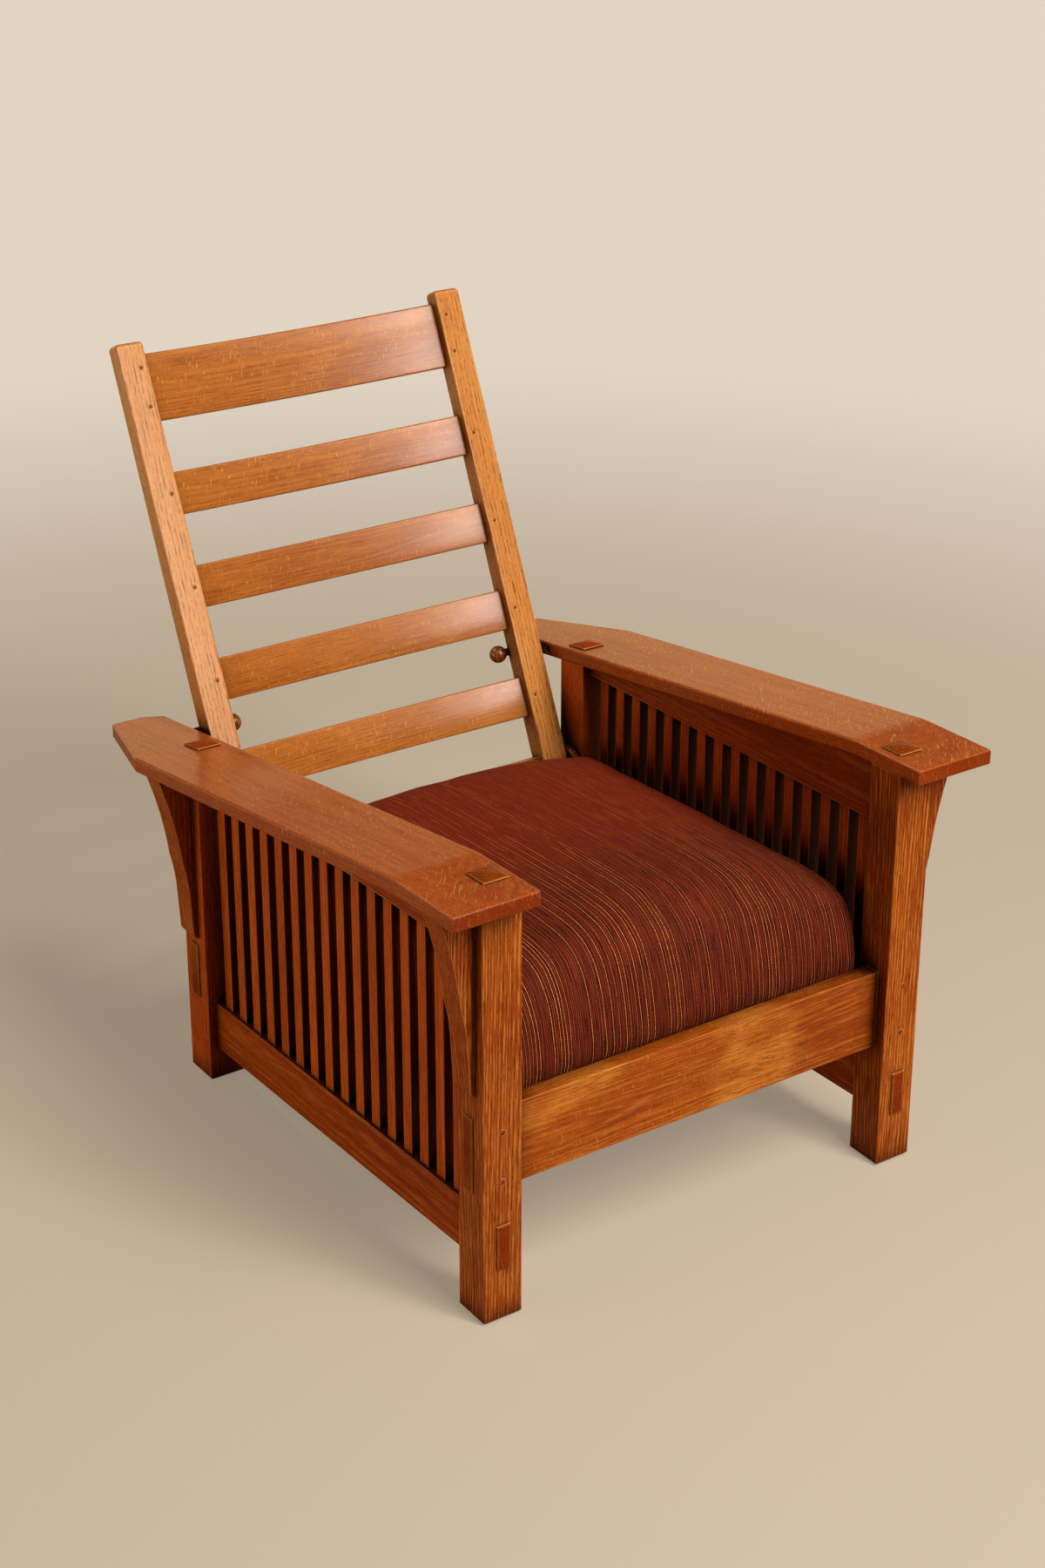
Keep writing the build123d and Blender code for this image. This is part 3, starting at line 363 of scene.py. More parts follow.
class BarSettings(bpy.types.PropertyGroup):
    """Sizes of the eased bars: back slats and side spindles."""

    slat_thickness: length("Slat thickness", 0.012, "Front to rear")
    slat_bow: length("Slat bow", 0.021, "How far the slats' middles stand behind their ends")
    slat_edge: length("Slat edge", 0.0022, "Rounding of the slats' long edges")
    slat_set_back: length("Slat set back", 0.0057, "Front of a slat's end ahead of the hinge line")
    slat_housing: length("Slat housing", 0.004, "How far each slat's end enters its stile")
    top_slat_height: length("Top slat height", 0.0964, "Height of the wide top slat")
    top_slat_top: length("Top slat top", 0.732, "Top of the back's slats above the hinge line")
    lower_slat_height: length("Lower slat height", 0.0608, "Height of each narrow slat")
    slat_gap: length("Slat gap", 0.0744, "Open height between slats")
    lower_slats: count("Lower slats", 4, "Narrow slats under the top one")
    spindles: count("Spindles", 16, "Spindles in each side")
    spindle_width: length("Spindle width", 0.0185, "Front to rear")
    spindle_thickness: length("Spindle thickness", 0.020, "Across the chair")
    spindle_edge: length("Spindle edge", 0.0004, "Rounding of the spindles' long edges")
    spindle_housing: length("Spindle housing", 0.006, "How far each end enters its rail")


class PinSettings(bpy.types.PropertyGroup):
    """Sizes of the turned adjusting pins."""

    ball_radius: length("Ball radius", 0.0133, "Radius of the pin's head")
    ball_gap: length("Ball gap", 0.0005, "Between the ball and the stile's inner face")
    shank_radius: length("Shank radius", 0.006, "Radius of the pin")
    in_arm: length("In the arm", 0.040, "How far the pin goes into the arm")
    end_chamfer: length("End chamfer", 0.0015, "Chamfer of the pin's hidden end")
    facets: count("Facets", 56, "Faces round the pin")


class CushionSettings(bpy.types.PropertyGroup):
    """Size, fill and cloth of the loose seat cushion."""

    half_width: length("Half width", 0.3, "Middle to side")
    depth: length("Depth", 0.633, "Front to rear")
    side_height: length("Side height", 0.139, "Height at the sides")
    crown: length("Crown", 0.044, "How much higher the middle is")
    corner: FloatVectorProperty(
        name="Corner",
        description="Rounding of the cushion's edges: across, front to rear, upright",
        default=(0.012, 0.016, 0.042),
        subtype="XYZ",
        unit="LENGTH",
    )
    nose: length("Nose", 0.022, "How far the front's upper edge stands back from its foot")
    front_gap: length("Front gap", 0.003, "Between the front rail and the cushion")
    swell: length("Swell", 0.009, "Furthest that the stuffing may push the cover")
    give: share("Give", 0.15, "Share of the cloth's pull that draws the corners in")
    pressure: share("Pressure", 4.0, "Cloth pressure of the stuffing", highest=50)
    fill: share("Fill", 0.85, "From slack to tight")
    ground: colour("Ground", 124, 35, 15, "Dark red of the cover's ground")
    shade: colour("Shade", 34, 9, 4, "Dark yarns between the ribs")
    warm: colour("Warm yarn", 152, 54, 20, "Faint lighter yarns along the stripes")
    stripe: colour("Stripe", 255, 148, 74, "Gold yarn of the thin broken stripes")
    stripe_spacing: length("Stripe spacing", 0.0056, "From one stripe to the next")
    stripe_width: length("Stripe width", 0.0009, "Width of a gold yarn")


class StageSettings(bpy.types.PropertyGroup):
    """Camera, lights and floor."""

    place: FloatVectorProperty(
        name="Camera place",
        description="Where the camera stands",
        default=(-2.010867, -2.873441, 2.154163),
        unit="LENGTH",
    )
    heading: angle("Heading", 35.80713, "Turn of the view to the chair's left")
    pitch: angle("Pitch", 25.85789, "How far the view looks down")
    roll: angle("Roll", 1.43209, "Turn about the view")
    lens: FloatProperty(name="Lens", description="Focal length", default=63.781, unit="CAMERA")
    floor: colour("Floor", 168, 132, 98, "Plain floor as it lights the chair")
    floor_seen: colour("Floor seen", 216, 198, 174, "Plain pale floor as the view shows it")
    haze: colour("Haze", 255, 206, 146, "Warm light low behind, seen in the satin of the arms")
    glint: FloatVectorProperty(
        name="Glint",
        description="Light that rounded corners catch, left behind and right in front",
        subtype="COLOR",
        size=4,
        default=(3.4, 2.7, 1.8, 1),
    )
    surround: colour("Surround", 236, 222, 204, "What the view sees around the chair")
    key_power: power("Key power", 275, "Large soft light high in front")
    gloss_power: power("Gloss power", 78, "Upright strip of light in front")
    fill_power: power("Fill power", 60, "Low soft light from the side")
    surround_light: share("Surround light", 0.07, "Strength of the light from all sides", highest=4)


def named(group):
    """The scene's settings of one kind."""
    return getattr(bpy.context.scene, "armchair_" + group)


class Graph:
    """Adds nodes to a tree, sets or links their inputs, and lays them out in one row."""

    def __init__(self, tree):
        self.tree = tree
        self.places = 0

    def add(self, kind, inputs=None, **settings):
        node = self.tree.nodes.new(kind)
        node.location = (self.places * NODE_STEP, 0)
        self.places += 1
        for key, value in settings.items():
            setattr(node, key, value)
        for key, value in (inputs or {}).items():
            self.feed(node.inputs[key], value)
        return node

    def feed(self, socket, value):
        """Links an output to the socket, or sets the socket's own value."""
        if isinstance(value, bpy.types.NodeSocket):
            self.tree.links.new(value, socket)
        else:
            socket.default_value = value

    def maths(self, operation, first, second=0.0, third=0.0, clamp=False):
        inputs = {0: first, 1: second, 2: third}
        node = self.add("ShaderNodeMath", inputs, operation=operation, use_clamp=clamp)
        return node.outputs[0]

    def vectors(self, operation, first, second=(0, 0, 0)):
        inputs = {0: first, 1: second}
        return self.add("ShaderNodeVectorMath", inputs, operation=operation).outputs[0]

    def measured(self, operation, first, second=(0, 0, 0)):
        """A number worked out from vectors, such as a length."""
        inputs = {0: first, 1: second}
        return self.add("ShaderNodeVectorMath", inputs, operation=operation).outputs["Value"]

    def scaled(self, vector, by):
        inputs = {0: vector, "Scale": by}
        return self.add("ShaderNodeVectorMath", inputs, operation="SCALE").outputs[0]

    def remap(self, value, low, high, to_low=0.0, to_high=1.0):
        """Smooth change from to_low to to_high as the value goes from low to high."""
        inputs = {
            "Value": value,
            "From Min": low,
            "From Max": high,
            "To Min": to_low,
            "To Max": to_high,
        }
        return self.add("ShaderNodeMapRange", inputs, interpolation_type="SMOOTHSTEP").outputs[0]

    def noise(self, vector, cells, seed=(0, 0, 0), detail=2.0):
        """Noise of a position, with its own cells in a metre on each axis."""
        at = self.vectors("ADD", self.vectors("MULTIPLY", vector, cells), seed)
        node = self.add("ShaderNodeTexNoise", {"Vector": at, "Scale": 1.0, "Detail": detail})
        return node.outputs["Fac"]

    def mix(self, factor, first, second, blend="MIX"):
        node = self.add("ShaderNodeMix", data_type="RGBA", blend_type=blend)
        self.feed(node.inputs["Factor"], factor)
        self.feed(node.inputs[MIX_FIRST], first)
        self.feed(node.inputs[MIX_SECOND], second)
        return node.outputs[MIX_RESULT]

    def join(self, x, y, z):
        return self.add("ShaderNodeCombineXYZ", {0: x, 1: y, 2: z}).outputs[0]

    def split(self, vector):
        return self.add("ShaderNodeSeparateXYZ", {0: vector}).outputs

    def placed_group(self, tree, values):
        """A shader group as a node, with its inputs set or linked."""
        node = self.add("ShaderNodeGroup")
        node.node_tree = tree
        for key, value in values.items():
            self.feed(node.inputs[key], value)
        return node.outputs


def shader_group(name, inputs, outputs):
    """An empty shader group with its sockets, its graph, its input node and its output node."""
    tree = bpy.data.node_groups.new(name, "ShaderNodeTree")
    for label, kind, value in inputs:
        kind = "NodeSocket" + kind
        socket = tree.interface.new_socket(label, in_out="INPUT", socket_type=kind)
        socket.default_value = value
    for label, kind in outputs:
        tree.interface.new_socket(label, in_out="OUTPUT", socket_type="NodeSocket" + kind)
    graph = Graph(tree)
    given = graph.add("NodeGroupInput").outputs
    result = graph.add("NodeGroupOutput").inputs
    return tree, graph, given, result


def once(name, build):
    """The node group of that name, built the first time it is wanted."""
    return bpy.data.node_groups.get(name) or build(name)


def oak_grain(name):
    """Wavy rings round a heart beside the board, open pores, ray flecks and soft golden patches."""
    inputs = [
        ("Position", "Vector", (0, 0, 0)),
        ("Light", "Color", (1, 1, 1, 1)),
        ("Dark", "Color", (0, 0, 0, 1)),
        ("Pore", "Color", (0, 0, 0, 1)),
        ("Fleck", "Color", (1, 1, 1, 1)),
        ("Ring Spacing", "Float", 0.0034),
        ("Heart X", "Float", 0.02),
        ("Heart Y", "Float", 0.09),
        ("Taper", "Float", 0.02),
        ("Wander", "Float", 0.006),
        ("Rings", "Float", 0.5),
        ("Pores", "Float", 0.8),
        ("Flecks", "Float", 0.0),
        ("Slant", "Float", 0.3),
        ("Patches", "Float", 0.0),
        ("Seed", "Vector", (0, 0, 0)),
    ]
    outputs = [("Color", "Color"), ("Roughness", "Float"), ("Height", "Float")]
    tree, g, given, result = shader_group(name, inputs, outputs)
    place, seed = given["Position"], given["Seed"]
    axis = g.split(place)

    def straying(cells, reach):
        """A drift of the position, up to half of the reach each way."""
        at = g.vectors("ADD", g.vectors("MULTIPLY", place, cells), seed)
        noise = g.add("ShaderNodeTexNoise", {"Vector": at, "Scale": 1.0, "Detail": 2.0})
        return g.scaled(g.vectors("SUBTRACT", noise.outputs["Color"], (0.5, 0.5, 0.5)), reach)

    heart_x = g.maths("MULTIPLY_ADD", axis["Z"], given["Taper"], given["Heart X"])
    heart = g.join(heart_x, given["Heart Y"], 0.0)
    away = g.vectors("ADD", place, straying(WAVER_CELLS, given["Wander"]))
    away = g.vectors("ADD", away, straying(RIPPLE_CELLS, RIPPLE_REACH))
    away = g.vectors("MULTIPLY", g.vectors("SUBTRACT", away, heart), (1, 1, 0))
    phase = g.maths("DIVIDE", g.measured("LENGTH", away), given["Ring Spacing"])
    change = {"W": g.maths("MULTIPLY", phase, RING_CHANGE), "Scale": 1.0, "Detail": 1.0}
    uneven = g.add("ShaderNodeTexNoise", change, noise_dimensions="1D").outputs["Fac"]
    ring = g.maths("FRACT", g.maths("MULTIPLY_ADD", uneven, RING_DRIFT, phase))
    beside = g.maths("ABSOLUTE", g.maths("SUBTRACT", ring, 0.5))
    late = g.remap(beside, *LATE_WOOD)
    early = g.remap(beside, *EARLY_WOOD)

    fine = g.noise(place, FINE_PORE_CELLS, seed, detail=1.0)
    coarse = g.noise(place, COARSE_PORE_CELLS, seed, detail=1.0)
    kept = g.maths("MULTIPLY_ADD", early, 1 - FINE_PORE_GROUND, FINE_PORE_GROUND)
    fine_pores = g.maths("MULTIPLY", g.remap(fine, *FINE_PORES), kept)
    kept = g.remap(early, *COARSE_PORE_RINGS)
    coarse_pores = g.maths("MULTIPLY", g.remap(coarse, *COARSE_PORES), kept)
    pores = g.maths("MULTIPLY", g.maths("MAXIMUM", fine_pores, coarse_pores), given["Pores"])

    fibre = g.noise(place, FIBRE_CELLS, seed, detail=3.0)
    broad = g.noise(place, TONE_CELLS, seed)
    tone = g.maths("MULTIPLY", early, g.maths("MULTIPLY", given["Rings"], RING_TONE))
    tone = g.maths("ADD", tone, g.remap(fibre, *FIBRES, 0.0, FIBRE_TONE))
    tone = g.maths("ADD", tone, g.remap(broad, *TONES, TONE_FROM, TONE_TO), clamp=True)
    wood = g.mix(tone, given["Light"], given["Dark"])
    broken = g.noise(place, BREAK_CELLS, g.vectors("ADD", seed, BREAK_SEED))
    lines = g.maths("MULTIPLY", late, g.remap(broken, *BROKEN_LINES))
    lines = g.maths("MULTIPLY", lines, given["Rings"])
    wood = g.mix(lines, wood, given["Fleck"])

    bent = g.vectors("ADD", place, straying(BEND_CELLS, PATCH_REACH))
    patch = g.noise(bent, PATCH_CELLS, seed)
    streak = g.noise(bent, STREAK_CELLS, seed)
    streak = g.remap(streak, *STREAKS, STREAK_GROUND, 1.0)
    patch = g.maths("MULTIPLY", g.remap(patch, *PATCHES), streak)
    patch = g.maths("MULTIPLY", patch, given["Patches"])
    wood = g.mix(patch, wood, given["Fleck"])

    slanting = g.maths("MULTIPLY", axis["X"], given["Slant"])
    slanted = g.join(axis["X"], axis["Y"], g.maths("SUBTRACT", axis["Z"], slanting))
    slanted = g.vectors("ADD", slanted, straying(FLECK_BEND_CELLS, FLECK_REACH))
    marks = g.noise(slanted, FLECK_CELLS, seed, detail=1.0)
    where = g.noise(place, FLECK_AREA_CELLS, seed, detail=1.0)
    marks = g.maths("MULTIPLY", g.remap(marks, *FLECKS), g.remap(where, *FLECK_AREAS))
    marks = g.maths("MULTIPLY", marks, given["Flecks"])
    wood = g.mix(marks, wood, given["Fleck"])
    wood = g.mix(pores, wood, given["Pore"])

    sunk = g.maths("MULTIPLY", pores, -1.0)
    g.feed(result["Color"], wood)
    g.feed(result["Roughness"], g.maths("MULTIPLY_ADD", pores, PORE_ROUGHNESS, WOOD_ROUGHNESS))
    g.feed(result["Height"], g.maths("MULTIPLY_ADD", marks, FLECK_HEIGHT, sunk))
    return tree


def softened_edges(name):
    """Softened corners, and a mask of how near a point is to one."""
    inputs = [("Radius", "Float", 0.0015)]
    outputs = [("Normal", "Vector"), ("Mask", "Float")]
    tree, g, given, result = shader_group(name, inputs, outputs)
    bevel = g.add("ShaderNodeBevel", {"Radius": given["Radius"]}, samples=MASK_SAMPLES)
    soft = bevel.outputs["Normal"]
    true = g.add("ShaderNodeNewGeometry").outputs["Normal"]
    g.feed(result["Normal"], soft)
    g.feed(result["Mask"], g.remap(g.measured("DOT_PRODUCT", soft, true), *CORNER_COSINES))
    return tree


def painted_recess_shade(name):
    """A mask of inner corners and narrow gaps, where painted shade darkens the oak."""
    inputs = [("Reach", "Float", 0.05), ("Depth", "Float", 2.0)]
    tree, g, given, result = shader_group(name, inputs, [("Mask", "Float")])
    reach = {"Distance": given["Reach"]}
    openness = g.add("ShaderNodeAmbientOcclusion", reach, samples=MASK_SAMPLES).outputs["AO"]
    closed = g.maths("SUBTRACT", OPEN_FACE, openness)
    g.feed(result["Mask"], g.maths("MULTIPLY", closed, given["Depth"], clamp=True))
    return tree


def empty_material(name):
    """A material with no nodes yet, and its graph."""
    material = bpy.data.materials.new(name)
    material.use_nodes = True
    graph = Graph(material.node_tree)
    graph.tree.nodes.clear()
    return material, graph


def new_material(name):
    """A material with its graph and the inputs of its one shader."""
    material, graph = empty_material(name)
    shader = graph.add("ShaderNodeBsdfPrincipled")
    graph.add("ShaderNodeOutputMaterial", {"Surface": shader.outputs[0]})
    return material, graph, shader.inputs


def grained(graph, turn, centre):
    """Object coordinates moved to a piece's middle and turned so that Z follows its grain."""
    place = graph.add("ShaderNodeTexCoord").outputs["Object"]
    inputs = {"Vector": place, "Location": centre, "Rotation": turn.to_euler("XYZ")}
    return graph.add("ShaderNodeMapping", inputs, vector_type="TEXTURE").outputs[0]


def by_board(graph, spread):
    """Positions along a row of boards, moved on a little for each board."""
    along = graph.add("ShaderNodeAttribute", attribute_name="grain").outputs["Vector"]
    board = graph.add("ShaderNodeAttribute", attribute_name="board").outputs["Fac"]
    return graph.vectors("ADD", along, graph.scaled(spread, board))


def oak(name, tone, position, seed=0.0, along=None, gloss=1.0, gaps=2.0, **figure):
    """An oak finish, with values for the grain group taken from figure.

    position(graph) gives the place along the grain. along is the way of the grain in the
    object's space: faces square to it are cut ends. gaps is how strongly painted shade darkens
    recesses.
    """
    s = named("oak")
    material, g, shader = new_material(name)
    heart_x, heart_y = figure.pop("heart")
    values = {
        "Position": position(g),
        "Light": getattr(s, tone + "_light"),
        "Dark": getattr(s, tone + "_dark"),
        "Pore": s.pore,
        "Fleck": s.fleck,
        "Ring Spacing": s.ring_spacing,
        "Heart X": heart_x,
        "Heart Y": heart_y,
        "Seed": tuple(seed * spread for spread in SEED_SPREAD),
    }
    values.update((key.title(), value) for key, value in figure.items())
    grain = g.placed_group(once("Oak grain", oak_grain), values)
    edges = g.placed_group(once("Rubbed edges", softened_edges), {"Radius": s.softened_edge})
    wood = grain["Color"]
    coat = s.coat * gloss
    if along:
        facing = g.add("ShaderNodeTexCoord").outputs["Normal"]
        cut = g.maths("ABSOLUTE", g.measured("DOT_PRODUCT", facing, along))
        cut = g.remap(cut, *CUT_END)
        wood = g.mix(cut, wood, s.end_grain, blend="MULTIPLY")
        coat = g.maths("MULTIPLY_ADD", cut, -CUT_END_COAT_LOSS * coat, coat)
    # Painted shade: the recess mask darkens corners and gaps and takes the coat off there
    depth = {"Reach": s.recess_shade_reach, "Depth": gaps}
    gap = g.placed_group(once("Recesses", painted_recess_shade), depth)["Mask"]
    wood = g.mix(gap, wood, s.recess_shade, blend="MULTIPLY")
    # Corners lightened towards the worn edge colour: partly wear, partly a painted highlight
    wear_and_highlight = g.maths("MULTIPLY", edges["Mask"], WEAR_AND_HIGHLIGHT_SHARE)
    g.feed(shader["Base Color"], g.mix(wear_and_highlight, wood, s.worn))
    g.feed(shader["Roughness"], grain["Roughness"])
    bump = {
        "Height": grain["Height"],
        "Normal": edges["Normal"],
        "Strength": GRAIN_BUMP,
        "Distance": GRAIN_DEPTH,
    }
    g.feed(shader["Normal"], g.add("ShaderNodeBump", bump).outputs[0])
    g.feed(shader["Coat Normal"], edges["Normal"])
    g.feed(shader["Coat Weight"], g.maths("MULTIPLY", g.maths("SUBTRACT", 1.0, gap), coat))
    shader["Coat Roughness"].default_value = s.coat_roughness
    shader["Specular IOR Level"].default_value = OAK_SPECULAR
    return material


def middle_of(node):
    """The middle of a solid's box."""
    low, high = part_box(node)
    return (low + high) / 2


def seeded(text):
    """A small number that differs from name to name and is the same each run."""
    whole = sum(ord(letter) * (place + 1) for place, letter in enumerate(text))
    return whole % SEED_COUNT / SEEDS_TO_ONE


def put_on(obj, material):
    """Makes that material the object's only one."""
    obj.data.materials.clear()
    obj.data.materials.append(material)


def dress(node, tone, turn, **finish):
    """Gives one solid its own oak, centred on it, with the grain along the turn's Z."""
    centre = middle_of(node)

    def position(graph):
        return grained(graph, turn, centre)

    along = tuple(turn.to_3x3() @ Vector((0, 0, 1)))
    put_on(NODES[node], oak(node + "_oak", tone, position, seeded(node), along, **finish))


def steel(name):
    """Zinc-plated steel for screws and hinge pins, a little dulled."""
    material, g, shader = new_material(name)
    place = g.add("ShaderNodeTexCoord").outputs["Object"]
    worn = g.noise(place, PLATE_CELLS, detail=3.0)
    g.feed(shader["Base Color"], g.mix(worn, PLATE_DARK, PLATE_LIGHT))
    g.feed(shader["Roughness"], g.remap(worn, *PLATE_ROUGHNESS))
    shader["Metallic"].default_value = 1.0
    bump = {"Height": worn, "Strength": PLATE_BUMP, "Distance": PLATE_DEPTH}
    g.feed(shader["Normal"], g.add("ShaderNodeBump", bump).outputs[0])
    return material


def woven(name):
    """Ribbed ground, dark and warm yarns, and thin broken gold stripes, from a map in metres."""
    inputs = [
        ("Cover", "Vector", (0, 0, 0)),
        ("Ground", "Color", (1, 1, 1, 1)),
        ("Shade", "Color", (0, 0, 0, 1)),
        ("Warm", "Color", (1, 1, 1, 1)),
        ("Stripe", "Color", (1, 1, 1, 1)),
        ("Spacing", "Float", 0.0056),
        ("Width", "Float", 0.001),
        ("Front Glow", "Float", 1.0),
    ]
    outputs = [("Color", "Color"), ("Roughness", "Float"), ("Height", "Float")]
    tree, g, given, result = shader_group(name, inputs, outputs)
    cover, front_sheen_and_shade = given["Cover"], given["Front Glow"]
    across, along = (g.split(cover)[axis] for axis in ("X", "Y"))
    lane = g.maths("DIVIDE", across, given["Spacing"])
    index = g.maths("ROUND", lane)

    def chance(shift):
        """A number of its own for each stripe."""
        draw = {"W": g.maths("ADD", index, shift)}
        return g.add("ShaderNodeTexWhiteNoise", draw, noise_dimensions="1D").outputs["Value"]

    def along_stripe(shift, cells, detail):
        """Noise that runs along each stripe and differs from one to the next."""
        at = g.join(g.maths("MULTIPLY", index, shift), g.maths("MULTIPLY", along, cells), 0.0)
        node = g.add("ShaderNodeTexNoise", {"Vector": at, "Scale": 1.0, "Detail": detail})
        return node.outputs["Fac"]

    sway = g.maths("MULTIPLY", g.maths("SUBTRACT", chance(SWAY_DRAW), 0.5), STRIPE_SWAY)
    sway = g.maths("ADD", sway, g.remap(along_stripe(*SWAY_RUN), *SLOW_SWAY))
    off = g.maths("ABSOLUTE", g.maths("SUBTRACT", g.maths("SUBTRACT", lane, index), sway))
    off = g.maths("MULTIPLY", off, given["Spacing"])
    wide = g.maths("DIVIDE", off, g.maths("MULTIPLY", given["Width"], 0.5))
    line = g.maths("SUBTRACT", 1.0, g.remap(wide, *STRIPE_EDGE))
    bright = g.remap(chance(BRIGHT_DRAW), *STRIPE_BRIGHT)
    twist = g.remap(along_stripe(*TWIST_RUN), *STRIPE_TWIST)
    fade = g.remap(along_stripe(*FADE_RUN), *STRIPE_FADE)
    # Painted sheen: towards the front the stripes are whole and bright
    fade = g.maths("MAXIMUM", fade, g.remap(front_sheen_and_shade, *FRONT_FADE))
    gold = g.maths("MULTIPLY", g.maths("MULTIPLY", line, bright), g.maths("MULTIPLY", twist, fade))
    gold = g.maths("MULTIPLY", gold, g.remap(across, *FAR_SIDE_FADE))
    gold = g.maths("MULTIPLY", gold, front_sheen_and_shade, clamp=True)

    speckle = g.noise(cover, SPECKLE_CELLS)
    yarns = g.noise(cover, YARN_CELLS, detail=3.0)
    blotch = g.noise(cover, BLOTCH_CELLS, detail=3.0)
    trough = g.maths("MULTIPLY", g.remap(wide, *TROUGH_INNER), g.remap(wide, *TROUGH_OUTER))
    trough = g.maths("MULTIPLY", trough, g.remap(bright, *TROUGH_BRIGHT))
    rib = g.maths("SINE", g.maths("MULTIPLY", along, 2 * math.pi / RIB_SPACING))
    rib = g.maths("MULTIPLY_ADD", rib, 0.5, 0.5)
    ground = g.mix(g.remap(yarns, *WARM_YARNS), given["Ground"], given["Warm"])
    dark = g.maths("MULTIPLY", g.remap(speckle, *SPECKLES), g.remap(blotch, *BLOTCHES))
    dark = g.maths("ADD", dark, g.remap(yarns, *DARK_YARNS))
    dark = g.maths("ADD", dark, trough, clamp=True)
    # Painted shade: towards the front the dark yarns and troughs are deeper
    dark = g.maths("MULTIPLY", dark, g.remap(front_sheen_and_shade, *FRONT_DARK))
    ground = g.mix(dark, ground, given["Shade"])
    g.feed(result["Color"], g.mix(gold, ground, given["Stripe"]))
    rough = g.maths("MULTIPLY_ADD", gold, STRIPE_SMOOTHING, WEAVE_ROUGHNESS)
    g.feed(result["Roughness"], rough)
    relief = g.maths("MULTIPLY", rib, RIB_RELIEF)
    relief = g.maths("ADD", relief, g.maths("MULTIPLY", gold, STRIPE_RELIEF))
    relief = g.maths("SUBTRACT", relief, g.maths("MULTIPLY", dark, DARK_RELIEF))
    g.feed(result["Height"], relief)
    return tree


def cushion_cover():
    """The cushion's striped weave with a faint sheen, and painted sheen and shade at the front."""
    s = named("cushion")
    material, g, shader = new_material("striped_weave")
    cover = g.add("ShaderNodeUVMap", uv_map="cover").outputs[0]
    depth = g.split(g.add("ShaderNodeTexCoord").outputs["Object"])["Y"]
    values = {
        "Cover": cover,
        "Ground": s.ground,
        "Shade": s.shade,
        "Warm": s.warm,
        "Stripe": s.stripe,
        "Spacing": s.stripe_spacing,
        "Width": s.stripe_width,
        "Front Glow": g.remap(depth, *FRONT_SHEEN_AND_SHADE),
    }
    weave = g.placed_group(once("Woven stripes", woven), values)
    g.feed(shader["Base Color"], weave["Color"])
    g.feed(shader["Roughness"], weave["Roughness"])
    bump = {"Height": weave["Height"], "Strength": WEAVE_BUMP, "Distance": WEAVE_DEPTH}
    g.feed(shader["Normal"], g.add("ShaderNodeBump", bump).outputs[0])
    shader["Sheen Weight"].default_value = SHEEN
    shader["Sheen Roughness"].default_value = SHEEN_ROUGHNESS
    shader["Sheen Tint"].default_value = SHEEN_TINT
    shader["Specular IOR Level"].default_value = WEAVE_SPECULAR
    return material


BAR_INPUTS = [
    ("Length", "Float"),
    ("Width", "Float"),
    ("Thickness", "Float"),
    ("Edge", "Float"),
    ("Bow", "Float"),
    ("Segments", "Int"),
    ("Count", "Int"),
    ("Step", "Vector"),
    ("Finish", "Material"),
]


